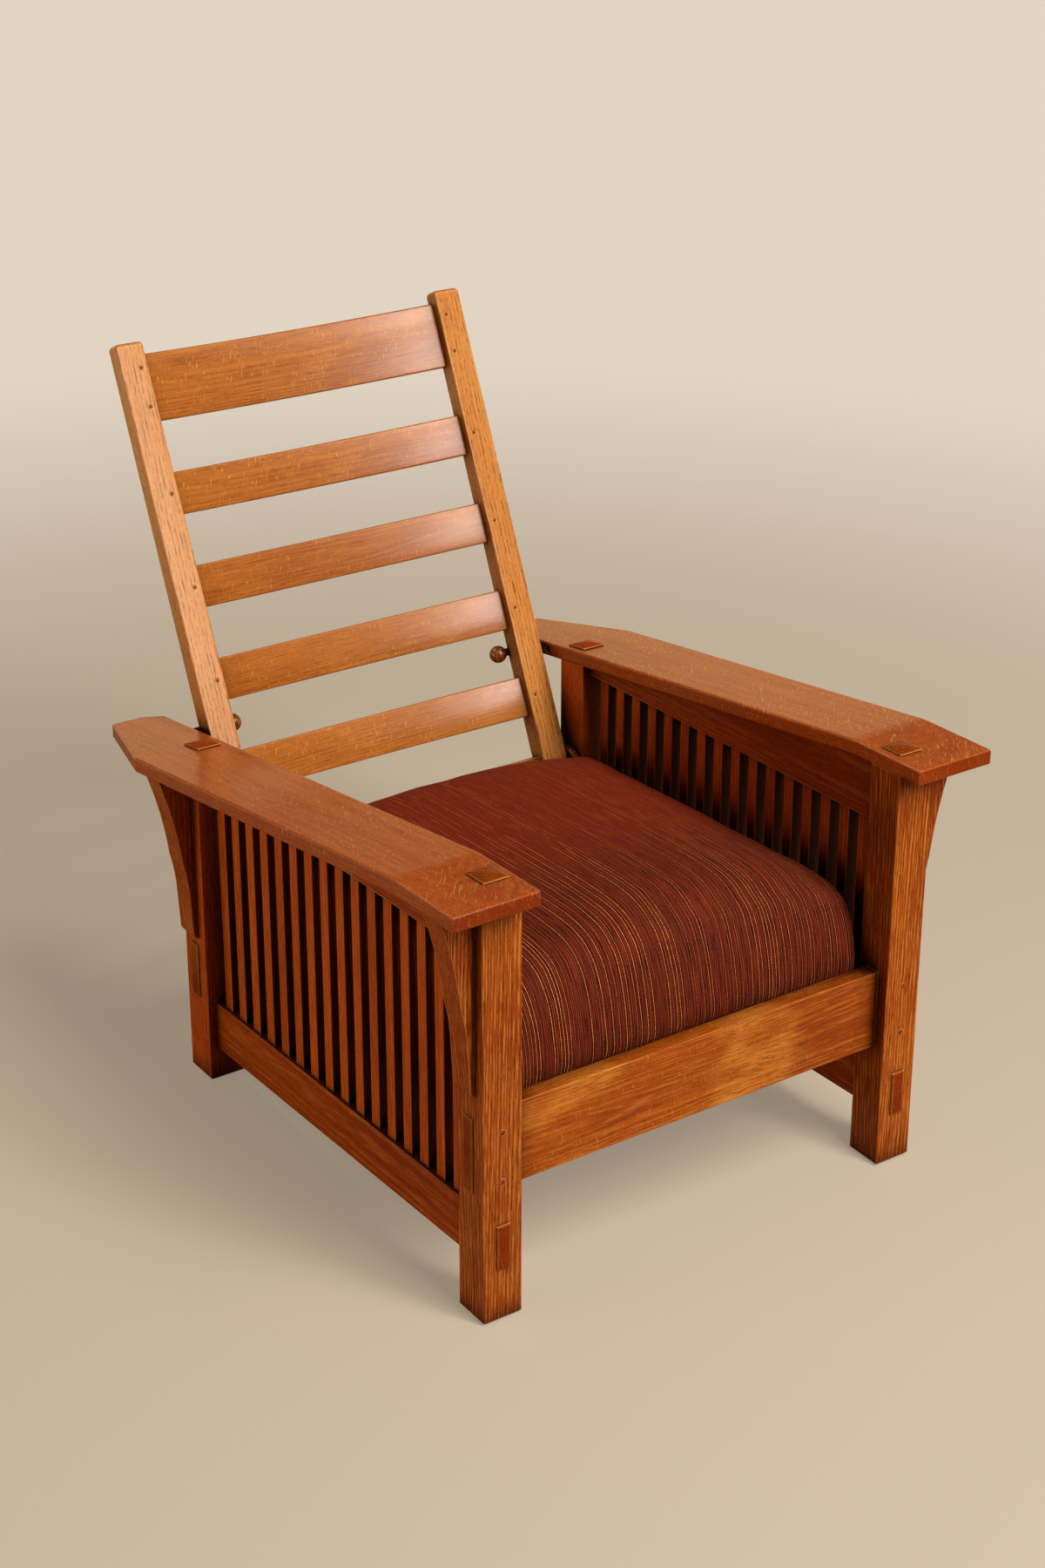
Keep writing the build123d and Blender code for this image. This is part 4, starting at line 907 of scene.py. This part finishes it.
def bar_row(name):
    """A row of equal bars along X, their long edges rounded, each bent backwards in Y by a bow."""
    tree = bpy.data.node_groups.new(name, "GeometryNodeTree")
    tree.interface.new_socket("Geometry", in_out="INPUT", socket_type="NodeSocketGeometry")
    for label, kind in BAR_INPUTS:
        tree.interface.new_socket(label, in_out="INPUT", socket_type="NodeSocket" + kind)
    tree.interface.new_socket("Geometry", in_out="OUTPUT", socket_type="NodeSocketGeometry")
    g = Graph(tree)
    given = g.add("NodeGroupInput").outputs

    def stored(geometry, key, value, **kind):
        """The geometry with a named attribute for its material."""
        inputs = {"Geometry": geometry, "Name": key, "Value": value}
        return g.add("GeometryNodeStoreNamedAttribute", inputs, **kind).outputs[0]

    half = g.maths("MULTIPLY", given["Length"], 0.5)
    ends = {
        "Start": g.join(g.maths("MULTIPLY", half, -1), 0.0, 0.0),
        "End": g.join(half, 0.0, 0.0),
    }
    line = g.add("GeometryNodeCurvePrimitiveLine", ends).outputs[0]
    cut = {"Curve": line, "Count": given["Segments"]}
    line = g.add("GeometryNodeResampleCurve", cut).outputs[0]
    line = g.add("GeometryNodeSetCurveNormal", {"Curve": line}, mode="Z_UP").outputs[0]
    sizes = {"Width": given["Thickness"], "Height": given["Width"]}
    outline = g.add("GeometryNodeCurvePrimitiveQuadrilateral", sizes).outputs[0]
    rounding = {"Curve": outline, "Radius": given["Edge"], "Count": EDGE_POINTS}
    outline = g.add("GeometryNodeFilletCurve", rounding, mode="POLY").outputs[0]
    swept = {"Curve": line, "Profile Curve": outline, "Fill Caps": True}
    bar = g.add("GeometryNodeCurveToMesh", swept).outputs[0]
    axis = g.split(g.add("GeometryNodeInputPosition").outputs[0])
    along = g.join(axis["Z"], axis["Y"], axis["X"])
    bar = stored(bar, "grain", along, data_type="FLOAT_VECTOR", domain="POINT")
    out = g.maths("DIVIDE", axis["X"], half)
    inner = g.maths("SUBTRACT", 1.0, g.maths("MULTIPLY", out, out))
    bend = g.join(0.0, g.maths("MULTIPLY", given["Bow"], inner), 0.0)
    bar = g.add("GeometryNodeSetPosition", {"Geometry": bar, "Offset": bend}).outputs[0]
    repeat = {"Count": given["Count"], "Offset": given["Step"]}
    spots = g.add("GeometryNodeMeshLine", repeat).outputs[0]
    row = g.add("GeometryNodeInstanceOnPoints", {"Points": spots, "Instance": bar}).outputs[0]
    index = g.add("GeometryNodeInputIndex").outputs[0]
    row = stored(row, "board", index, data_type="FLOAT", domain="INSTANCE")
    row = g.add("GeometryNodeRealizeInstances", {"Geometry": row}).outputs[0]
    finish = {"Geometry": row, "Material": given["Finish"]}
    row = g.add("GeometryNodeSetMaterial", finish).outputs[0]
    g.add("NodeGroupOutput", {"Geometry": row})
    return tree


def plain_mesh(obj):
    """What an object's modifiers make, as a mesh of its own."""
    bpy.context.view_layer.update()
    seen = obj.evaluated_get(bpy.context.evaluated_depsgraph_get())
    return bpy.data.meshes.new_from_object(seen)


def link(name, data):
    """A new object in the scene with that mesh, lamp or camera."""
    obj = bpy.data.objects.new(name, data)
    bpy.context.scene.collection.objects.link(obj)
    return obj


def smooth_all(mesh):
    mesh.polygons.foreach_set("use_smooth", [True] * len(mesh.polygons))


def smooth_below(mesh, degrees):
    """Smooth shading, with every corner sharper than that angle kept crisp."""
    smooth_all(mesh)
    mesh.set_sharp_from_angle(angle=math.radians(degrees))
    mesh.update()


def bars(name, place, **values):
    """A row of bars as one plain mesh, put in place by a matrix."""
    obj = link(name, bpy.data.meshes.new(name))
    modifier = obj.modifiers.new("Bars", "NODES")
    modifier.node_group = once("Bar row", bar_row)
    for item in modifier.node_group.interface.items_tree:
        if item.in_out == "INPUT" and item.name in values:
            modifier[item.identifier] = values[item.name]
    mesh = plain_mesh(obj)
    bpy.data.objects.remove(obj)
    mesh.name = name
    mesh.transform(place)
    smooth_below(mesh, BAR_CREASE)
    return link(name, mesh)


def placed_on(obj, body, slot, *nodes):
    """Puts a piece on its body in place of the solids named; its slot is not used."""
    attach(obj, body)
    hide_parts(*nodes)


class FrameFinish(bpy.types.Operator):
    """Finishes the solids of the frame and the back in oak and steel."""

    bl_idname = "armchair.finish_solids"
    bl_label = "Finish the solids"

    def execute(self, context):
        upright = CHAIR @ ALONG_Z
        level = CHAIR @ ALONG_Y_UPRIGHT
        sloping = CHAIR @ tilt(ARM_SLOPE) @ ALONG_Y
        # gaps sets how deep each piece's painted shade in its corners and gaps is
        leg = dict(heart=(0.13, 0.11), pores=0.7, patches=0.12, gloss=0.4)
        corbel = dict(heart=(0.08, 0.07), rings=0.45, patches=0.2, gloss=0.4)
        arm = dict(heart=(0.02, -0.16), rings=0.1, pores=0.35, flecks=0.85, slant=1.1, gaps=1.0)
        side_rail = dict(heart=(0.01, 0.08), pores=0.5, gloss=0.4)
        stile = dict(heart=(0.1, 0.16), rings=0.35, pores=0.65, wander=0.004)
        for side in ("_left", "_right"):
            dress("front_leg" + side, "frame", upright, rings=0.5, **leg)
            dress("front_corbel" + side, "side", upright, **corbel)
            dress("rear_leg" + side, "spindle", upright, rings=0.2, **leg)
            dress("rear_corbel" + side, "side", upright, **corbel)
            dress("arm" + side, "arm", sloping, **arm)
            dress("apron" + side, "side", level, rings=0.2, **side_rail)
            dress("lower_side_rail" + side, "side", level, rings=0.25, **side_rail)
            dress("hinge_spacer" + side, "turned", CHAIR @ ALONG_X, heart=(0.01, 0.05))
            dress("back_stile" + side, "back", BACK @ ALONG_Z, **stile)
        cross_rail = dict(rings=0.25, pores=0.4, patches=0.55, flecks=0.4, slant=0.15)
        cross_rail.update(heart=(0.02, 0.06), wander=0.03, gloss=0.4, gaps=3.5)
        for rail in ("front_rail", "rear_rail"):
            dress(rail, "frame", ALONG_X, **cross_rail)
        dress("back_bottom_rail", "slat", BACK @ ALONG_X, heart=(0.02, 0.08))
        for pegs in ("front_rail_pegs", "rear_rail_pegs", "back_pegs"):
            dress(pegs, "side", CHAIR @ ALONG_Y, heart=(0.01, 0.04), gaps=0.5)
        ends = ("seat_frame_front", "seat_frame_rear", "front_cleat", "rear_cleat")
        for bar in (*ends, "seat_slats"):
            dress(bar, "inner", ALONG_X, heart=(0.02, 0.06))
        for bar in ("seat_frame_left", "seat_frame_right"):
            dress(bar, "inner", SEAT @ ALONG_Y, heart=(0.02, 0.06))
        plated = steel("plated_steel")
        for node in ("hinge_pin_left", "hinge_pin_right", "cleat_screws", "seat_slat_screws"):
            put_on(NODES[node], plated)
        return {"FINISHED"}


class Spindles(bpy.types.Operator):
    """Makes both side frames' rows of eased spindles."""

    bl_idname = "armchair.spindles"
    bl_label = "Spindles"

    def execute(self, context):
        s = named("bars")
        low = RAIL_TOP - s.spindle_housing
        high = APRON_BOTTOM + s.spindle_housing
        room = SPINDLE_ROW_REAR - SPINDLE_ROW_FRONT - s.spindles * s.spindle_width
        step = room / (s.spindles + 1) + s.spindle_width
        first = SPINDLE_ROW_FRONT + step - s.spindle_width / 2
        # This turn also stands a bar's length upright and runs the row's Z to the rear
        stand = ALONG_Y_UPRIGHT

        def position(graph):
            return by_board(graph, SPINDLE_SPREAD)

        for side, sign in (("left", 1), ("right", -1)):
            figure = dict(heart=(0.05, 0.06), rings=0.3, pores=0.5)
            # The spindles take deep painted shade in the gaps between them
            finish = dict(seed=4.0 + sign, gloss=0.4, gaps=4.0, **figure)
            middle = Matrix.Translation((sign * LEG_MIDDLE, first, (low + high) / 2))
            row = bars(
                "eased_spindles_" + side,
                CHAIR @ middle @ stand,
                Length=high - low,
                Width=s.spindle_width,
                Thickness=s.spindle_thickness,
                Edge=s.spindle_edge,
                Bow=0.0,
                Segments=STRAIGHT_POINTS,
                Count=s.spindles,
                Step=(0.0, 0.0, step),
                Finish=oak("spindle_oak_" + side, "spindle", position, **finish),
            )
            placed_on(row, "frame", "oak_frame", "spindles_" + side)
        return {"FINISHED"}


class BackSlats(bpy.types.Operator):
    """Makes the bowed slats of the back: one wide, the rest narrow."""

    bl_idname = "armchair.back_slats"
    bl_label = "Back slats"

    def execute(self, context):
        s = named("bars")

        def position(graph):
            return by_board(graph, SLAT_SPREAD)

        figure = dict(rings=0.15, pores=0.32, flecks=0.75, slant=0.25, patches=0.15)
        figure.update(heart=(0.03, 0.07), wander=0.016)
        shared = dict(
            Length=2 * (STILE_INNER + s.slat_housing),
            Thickness=s.slat_thickness,
            Edge=s.slat_edge,
            Bow=s.slat_bow,
            Segments=BOWED_POINTS,
            Finish=oak("slat_oak", "slat", position, seed=9.0, **figure),
        )
        behind = s.slat_thickness / 2 - s.slat_set_back
        place = BACK @ Matrix.Translation((0, behind, s.top_slat_top - s.top_slat_height / 2))
        top = dict(Width=s.top_slat_height, Count=1, Step=(0.0, 0.0, 0.0))
        placed_on(bars("top_slat", place, **top, **shared), "back", "oak_back", "back_slat_top")
        first = s.top_slat_top - s.top_slat_height - s.slat_gap - s.lower_slat_height / 2
        place = BACK @ Matrix.Translation((0, behind, first))
        step = (0.0, 0.0, -(s.slat_gap + s.lower_slat_height))
        narrow = dict(Width=s.lower_slat_height, Count=s.lower_slats, Step=step)
        lower = ["back_slat_" + name for name in ("second", "third", "fourth", "lowest")]
        placed_on(bars("lower_slats", place, **narrow, **shared), "back", "oak_back", *lower)
        return {"FINISHED"}


def turned_piece(name, outline, facets):
    """A lathe-turned piece about X from its outline of places along X and radii."""
    mesh = bpy.data.meshes.new(name)
    shape = bmesh.new()
    points = [shape.verts.new((x, 0, radius)) for x, radius in outline]
    edges = [shape.edges.new(pair) for pair in zip(points, points[1:])]
    bmesh.ops.spin(
        shape,
        geom=points + edges,
        axis=(1, 0, 0),
        cent=(0, 0, 0),
        angle=2 * math.pi,
        steps=facets,
        use_duplicate=False,
    )
    bmesh.ops.remove_doubles(shape, verts=shape.verts, dist=SAME_PIN_PLACE)
    bmesh.ops.dissolve_degenerate(shape, edges=shape.edges, dist=SAME_PIN_PLACE)
    bmesh.ops.recalc_face_normals(shape, faces=shape.faces)
    shape.to_mesh(mesh)
    shape.free()
    smooth_below(mesh, PIN_CREASE)
    return mesh


class AdjustingPins(bpy.types.Operator):
    """Turns the two ball-headed pins that the back leans on."""

    bl_idname = "armchair.adjusting_pins"
    bl_label = "Adjusting pins"

    def execute(self, context):
        s = named("pins")
        ball_x = STILE_INNER - s.ball_gap - s.ball_radius
        end = ARM_INNER + s.in_arm - ball_x
        neck = math.asin(s.shank_radius / s.ball_radius)
        outline = [(-s.ball_radius, 0)]
        for step in range(1, BALL_STEPS + 1):
            turn = math.pi - (math.pi - neck) * step / BALL_STEPS
            outline.append((s.ball_radius * math.cos(turn), s.ball_radius * math.sin(turn)))
        outline.append((end - s.end_chamfer, s.shank_radius))
        outline += [(end, s.shank_radius - s.end_chamfer), (end, 0)]
        for side, sign in (("left", 1), ("right", -1)):
            node = "adjusting_pin_" + side
            mesh = turned_piece("turned_pin_" + side, outline, s.facets)
            middle = middle_of(node)
            mirror = Matrix.Diagonal((sign, 1, 1, 1))
            mesh.transform(Matrix.Translation((sign * ball_x, middle.y, middle.z)) @ mirror)
            if sign < 0:
                mesh.flip_normals()
            pin = link("turned_pin_" + side, mesh)

            def position(graph, centre=middle):
                return grained(graph, ALONG_X, centre)

            figure = dict(seed=2.0 + sign, heart=(0.004, 0.02), pores=0.5)
            put_on(pin, oak("pin_oak_" + side, "turned", position, **figure))
            placed_on(pin, node, "oak_turned", node)
        return {"FINISHED"}


def box_skin(cells):
    """Corners, faces and each face's side for a box of -1 to 1, its cells finer at the edges."""
    corners, faces, sides = [], [], []
    for axis in range(3):
        u, v = [other for other in range(3) if other != axis]
        for sign in (-1, 1):
            start = len(corners)
            for i in range(cells[u] + 1):
                for j in range(cells[v] + 1):
                    corner = [0.0, 0.0, 0.0]
                    corner[axis] = sign
                    corner[u] = 2 * i / cells[u] - 1
                    corner[v] = 2 * j / cells[v] - 1
                    corners.append(corner)
            row = cells[v] + 1
            for i in range(cells[u]):
                for j in range(cells[v]):
                    face = [start + i * row + j, start + (i + 1) * row + j]
                    face += [face[1] + 1, face[0] + 1]
                    outwards = (sign > 0) == (axis != 1)
                    faces.append(face if outwards else face[::-1])
                    sides.append((axis, sign))
    corners = np.array(corners)
    crowded = np.sign(corners) * (1 - (1 - np.abs(corners)) ** CROWDING)
    return crowded, faces, sides


def cushion_height(from_front):
    """The cushion's height at a distance from its front, as a share of its full height."""
    front = 1 - FRONT_FALL * np.exp(-from_front / FRONT_FALL_REACH)
    front = front - FRONT_SLOPE * np.exp(-from_front / FRONT_SLOPE_REACH)
    to_rear = np.maximum(named("cushion").depth - from_front, 0)
    return front * (1 - REAR_FALL * np.exp(-to_rear / REAR_FALL_REACH))


def cushion_form(corners):
    """A rounded, crowned block from the box's corners, in the seat's frame with its foot at 0."""
    s = named("cushion")
    half = np.array([s.half_width, s.depth / 2, s.side_height / 2])
    rounding = np.array(s.corner)
    place = corners * half / rounding
    core = np.clip(place, 1 - half / rounding, half / rounding - 1)
    out = place - core
    reach = np.linalg.norm(out, axis=1, keepdims=True)
    form = (core + out / np.maximum(reach, TINY)) * rounding
    x = form[:, 0] / s.half_width
    y = form[:, 1] / half[1]
    rise = (form[:, 2] + half[2]) / (2 * half[2])
    loss = np.where(y < 0, CROWN_LOSS_FRONT, CROWN_LOSS_REAR)
    crown = s.crown * (1 - x**2) * (1 - np.abs(y) ** EDGE_POWER * loss)
    from_front = form[:, 1] + half[1]
    top = rise * (s.side_height + crown * rise) * cushion_height(from_front)
    top *= 1 - CORNER_FALL * x**EDGE_POWER * np.exp(-from_front / CORNER_FALL_REACH)
    set_back = s.nose * rise**2 * np.exp(-from_front / NOSE_REACH)
    return np.column_stack([form[:, 0], from_front + s.front_gap + set_back, top])


def cover_map(mesh, rest, sides):
    """A map in metres: stripes run over the front and top, and upright on the sides."""
    layer = mesh.uv_layers.new(name="cover")
    for face, (axis, sign) in zip(mesh.polygons, sides):
        for loop in face.loop_indices:
            x, y, z = rest[mesh.loops[loop].vertex_index]
            if axis == 0:
                layer.data[loop].uv = (y + SIDE_PANEL * sign, z)
            elif axis == 1:
                layer.data[loop].uv = (x, z if sign < 0 else REAR_PANEL - z)
            else:
                layer.data[loop].uv = (x, y + TOP_PANEL if sign > 0 else -y)


def points_of(mesh, key="co"):
    """The mesh's points, or another vector of each point, one to a row."""
    return np.array([getattr(vertex, key) for vertex in mesh.vertices])


def swollen(obj):
    """Lets the stuffing push the cover out with a short cloth simulation; returns its points."""
    modifier = obj.modifiers.new("Stuffing", "CLOTH")
    cloth = modifier.settings
    for key, value in CLOTH.items():
        setattr(cloth, key, value)
    cloth.uniform_pressure_force = named("cushion").pressure
    cloth.effector_weights.gravity = 0
    modifier.point_cache.frame_start = 1
    modifier.point_cache.frame_end = CLOTH_FRAMES
    scene = bpy.context.scene
    for step in range(1, CLOTH_FRAMES + 1):
        scene.frame_set(step)
    mesh = plain_mesh(obj)
    points = points_of(mesh)
    bpy.data.meshes.remove(mesh)
    obj.modifiers.remove(modifier)
    scene.frame_set(1)
    return points


def stuffed(obj, start):
    """The cover's points once swollen: inward pulls eased, and no push past the swell."""
    s = named("cushion")
    moved = swollen(obj) - start
    inward = np.sum(moved * points_of(obj.data, "normal"), axis=1) < 0
    moved[inward] *= s.give
    far = np.linalg.norm(moved, axis=1, keepdims=True)
    return start + moved * np.minimum(1, s.swell / np.maximum(far, TINY))


def held_in(points):
    """Keeps the cover off the seat, the front rail and the side frames, in the seat's frame."""
    points[:, 2] = np.maximum(points[:, 2], ABOVE_SEAT)
    points[:, 0] = np.clip(points[:, 0], -WITHIN_SIDES, WITHIN_SIDES)
    rail = FRONT_RAIL_TOP - SEAT_FRONT_Z + RAIL_MARGIN
    foremost = np.where(points[:, 2] < rail, BEHIND_RAIL, OVER_RAIL)
    points[:, 1] = np.maximum(points[:, 1], foremost)
    return points


class SeatCushion(bpy.types.Operator):
    """Makes the loose seat cushion, swollen by its stuffing and covered in striped weave."""

    bl_idname = "armchair.seat_cushion"
    bl_label = "Seat cushion"

    def execute(self, context):
        corners, faces, sides = box_skin(SKIN_CELLS)
        form = cushion_form(corners)
        mesh = bpy.data.meshes.new("striped_cushion")
        mesh.from_pydata(form.tolist(), [], faces)
        cover_map(mesh, form, sides)
        shape = bmesh.new()
        shape.from_mesh(mesh)
        bmesh.ops.remove_doubles(shape, verts=shape.verts, dist=SAME_PLACE)
        bmesh.ops.recalc_face_normals(shape, faces=shape.faces)
        shape.to_mesh(mesh)
        shape.free()
        obj = link("striped_cushion", mesh)
        points = points_of(mesh)
        points = stuffed(obj, points)
        mesh.vertices.foreach_set("co", held_in(points).ravel())
        mesh.update()
        finer = obj.modifiers.new("Finer", "SUBSURF")
        finer.levels = finer.render_levels = 1
        made = plain_mesh(obj)
        obj.modifiers.remove(finer)
        obj.data = made
        bpy.data.meshes.remove(mesh)
        made.name = "striped_cushion"
        made.transform(SEAT)
        smooth_all(made)
        put_on(obj, cushion_cover())
        placed_on(obj, "seat_cushion", "seat_fabric", "seat_cushion")
        named("cushion").fill
        return {"FINISHED"}


def camera(s):
    """The view that the settings give."""
    data = bpy.data.cameras.new("view")
    data.sensor_fit = "VERTICAL"
    data.sensor_height = FILM_HEIGHT
    data.lens = s.lens
    view = link("view", data)
    turn = Matrix.Rotation(-s.heading, 4, "Z") @ Matrix.Rotation(math.pi / 2 - s.pitch, 4, "X")
    view.matrix_world = Matrix.Translation(s.place) @ turn @ Matrix.Rotation(s.roll, 4, "Z")
    return view


def pale_floor(s):
    """A plain floor that fades into its surroundings away from the chair."""
    far = FLOOR_REACH
    mesh = bpy.data.meshes.new("floor")
    square = [(-far, -far, 0), (far, -far, 0), (far, far, 0), (-far, far, 0)]
    mesh.from_pydata(square, [], [(0, 1, 2, 3)])
    material, g = empty_material("pale_floor")
    place = g.add("ShaderNodeTexCoord").outputs["Object"]
    seen = g.add("ShaderNodeLightPath").outputs["Is Camera Ray"]
    flat = {"Base Color": g.mix(seen, s.floor, s.floor_seen), "Roughness": FLOOR_ROUGHNESS}
    flat = g.add("ShaderNodeBsdfPrincipled", flat).outputs[0]
    even = {"Color": s.floor_seen, "Strength": FLOOR_EVEN_STRENGTH}
    even = g.add("ShaderNodeEmission", even).outputs[0]
    part = g.maths("MULTIPLY", seen, FLOOR_EVEN_SHARE)
    lit = g.add("ShaderNodeMixShader", {0: part, 1: flat, 2: even}).outputs[0]
    away = g.remap(g.measured("LENGTH", place), *FLOOR_FADE)
    open_air = g.add("ShaderNodeBsdfTransparent").outputs[0]
    fading = g.add("ShaderNodeMixShader", {0: away, 1: lit, 2: open_air}).outputs[0]
    g.add("ShaderNodeOutputMaterial", {"Surface": fading})
    floor = link("floor", mesh)
    put_on(floor, material)
    return floor


def surround(s):
    """Even light from all sides, what gloss mirrors, and the plain tone that the view sees."""
    world = bpy.data.worlds.new("surround")
    world.use_nodes = True
    g = Graph(world.node_tree)
    g.tree.nodes.clear()
    path = g.add("ShaderNodeLightPath").outputs
    way = g.split(g.add("ShaderNodeTexCoord").outputs["Generated"])
    low = g.maths("SUBTRACT", 1.0, g.remap(way["Z"], *HAZE_TOP))
    behind = g.maths("MULTIPLY", g.remap(way["Y"], *HAZE_BEHIND), low)
    mirrored = g.mix(behind, MIRRORED_DARK, s.haze)
    askew = g.maths("ABSOLUTE", g.maths("SUBTRACT", way["X"], way["Y"]))
    risen = g.remap(way["Z"], *GLINT_RISE)
    glint = g.maths("MULTIPLY", g.remap(askew, *GLINT_SIDES), risen)
    mirrored = g.mix(glint, mirrored, s.glint)

    def light(tint, strength):
        return g.add("ShaderNodeBackground", {"Color": tint, "Strength": strength}).outputs[0]

    soft = light(EVEN_TINT, s.surround_light)
    gloss = light(mirrored, MIRRORED_STRENGTH)
    seen = light(s.surround, SEEN_STRENGTH)
    both = g.add("ShaderNodeMixShader", {0: path["Is Glossy Ray"], 1: soft, 2: gloss}).outputs[0]
    both = g.add("ShaderNodeMixShader", {0: path["Is Camera Ray"], 1: both, 2: seen}).outputs[0]
    g.add("ShaderNodeOutputWorld", {"Surface": both})
    return world


def area_light(name, place, target, size, tint, watts):
    """A soft rectangular lamp that stands in one place and faces another."""
    data = bpy.data.lights.new(name, "AREA")
    data.shape = "RECTANGLE"
    data.size, data.size_y = size
    data.energy = watts
    data.color = tint
    lamp = link(name, data)
    lamp.location = place
    away = Vector(target) - Vector(place)
    lamp.rotation_euler = away.to_track_quat("-Z", "Y").to_euler()


class Stage(bpy.types.Operator):
    """Sets the camera, the soft studio lights and the plain pale floor."""

    bl_idname = "armchair.stage"
    bl_label = "Stage"

    def execute(self, context):
        s = named("stage")
        context.scene.view_settings.view_transform = "Standard"
        context.scene.camera = camera(s)
        pale_floor(s)
        context.scene.world = surround(s)
        for name, lamp in LAMPS.items():
            area_light(name, *lamp, getattr(s, name + "_power"))
        return {"FINISHED"}


class SidePanel(bpy.types.Panel):
    """Lists the armchair's steps and settings."""

    bl_idname = "ARMCHAIR_PT_steps"
    bl_label = "Armchair"
    bl_space_type = "VIEW_3D"
    bl_region_type = "UI"
    bl_category = "Armchair"

    def draw(self, context):
        for operator in OPERATORS:
            self.layout.operator(operator.bl_idname)
        for group in SETTINGS:
            settings = named(group)
            box = self.layout.box()
            box.label(text=group.title())
            for key in settings.__annotations__:
                box.prop(settings, key)


SETTINGS = {
    "oak": OakSettings,
    "bars": BarSettings,
    "pins": PinSettings,
    "cushion": CushionSettings,
    "stage": StageSettings,
}
OPERATORS = (FrameFinish, Spindles, BackSlats, AdjustingPins, SeatCushion, Stage)


def register():
    for group, kind in SETTINGS.items():
        bpy.utils.register_class(kind)
        setattr(bpy.types.Scene, "armchair_" + group, PointerProperty(type=kind))
    for kind in (*OPERATORS, SidePanel):
        bpy.utils.register_class(kind)


def unregister():
    for kind in (SidePanel, *reversed(OPERATORS)):
        bpy.utils.unregister_class(kind)
    for group, kind in SETTINGS.items():
        delattr(bpy.types.Scene, "armchair_" + group)
        bpy.utils.unregister_class(kind)


def main():
    register()
    bpy.ops.armchair.finish_solids()
    bpy.ops.armchair.spindles()
    bpy.ops.armchair.back_slats()
    bpy.ops.armchair.adjusting_pins()
    bpy.ops.armchair.seat_cushion()
    bpy.ops.armchair.stage()


if __name__ == "__main__":
    main()
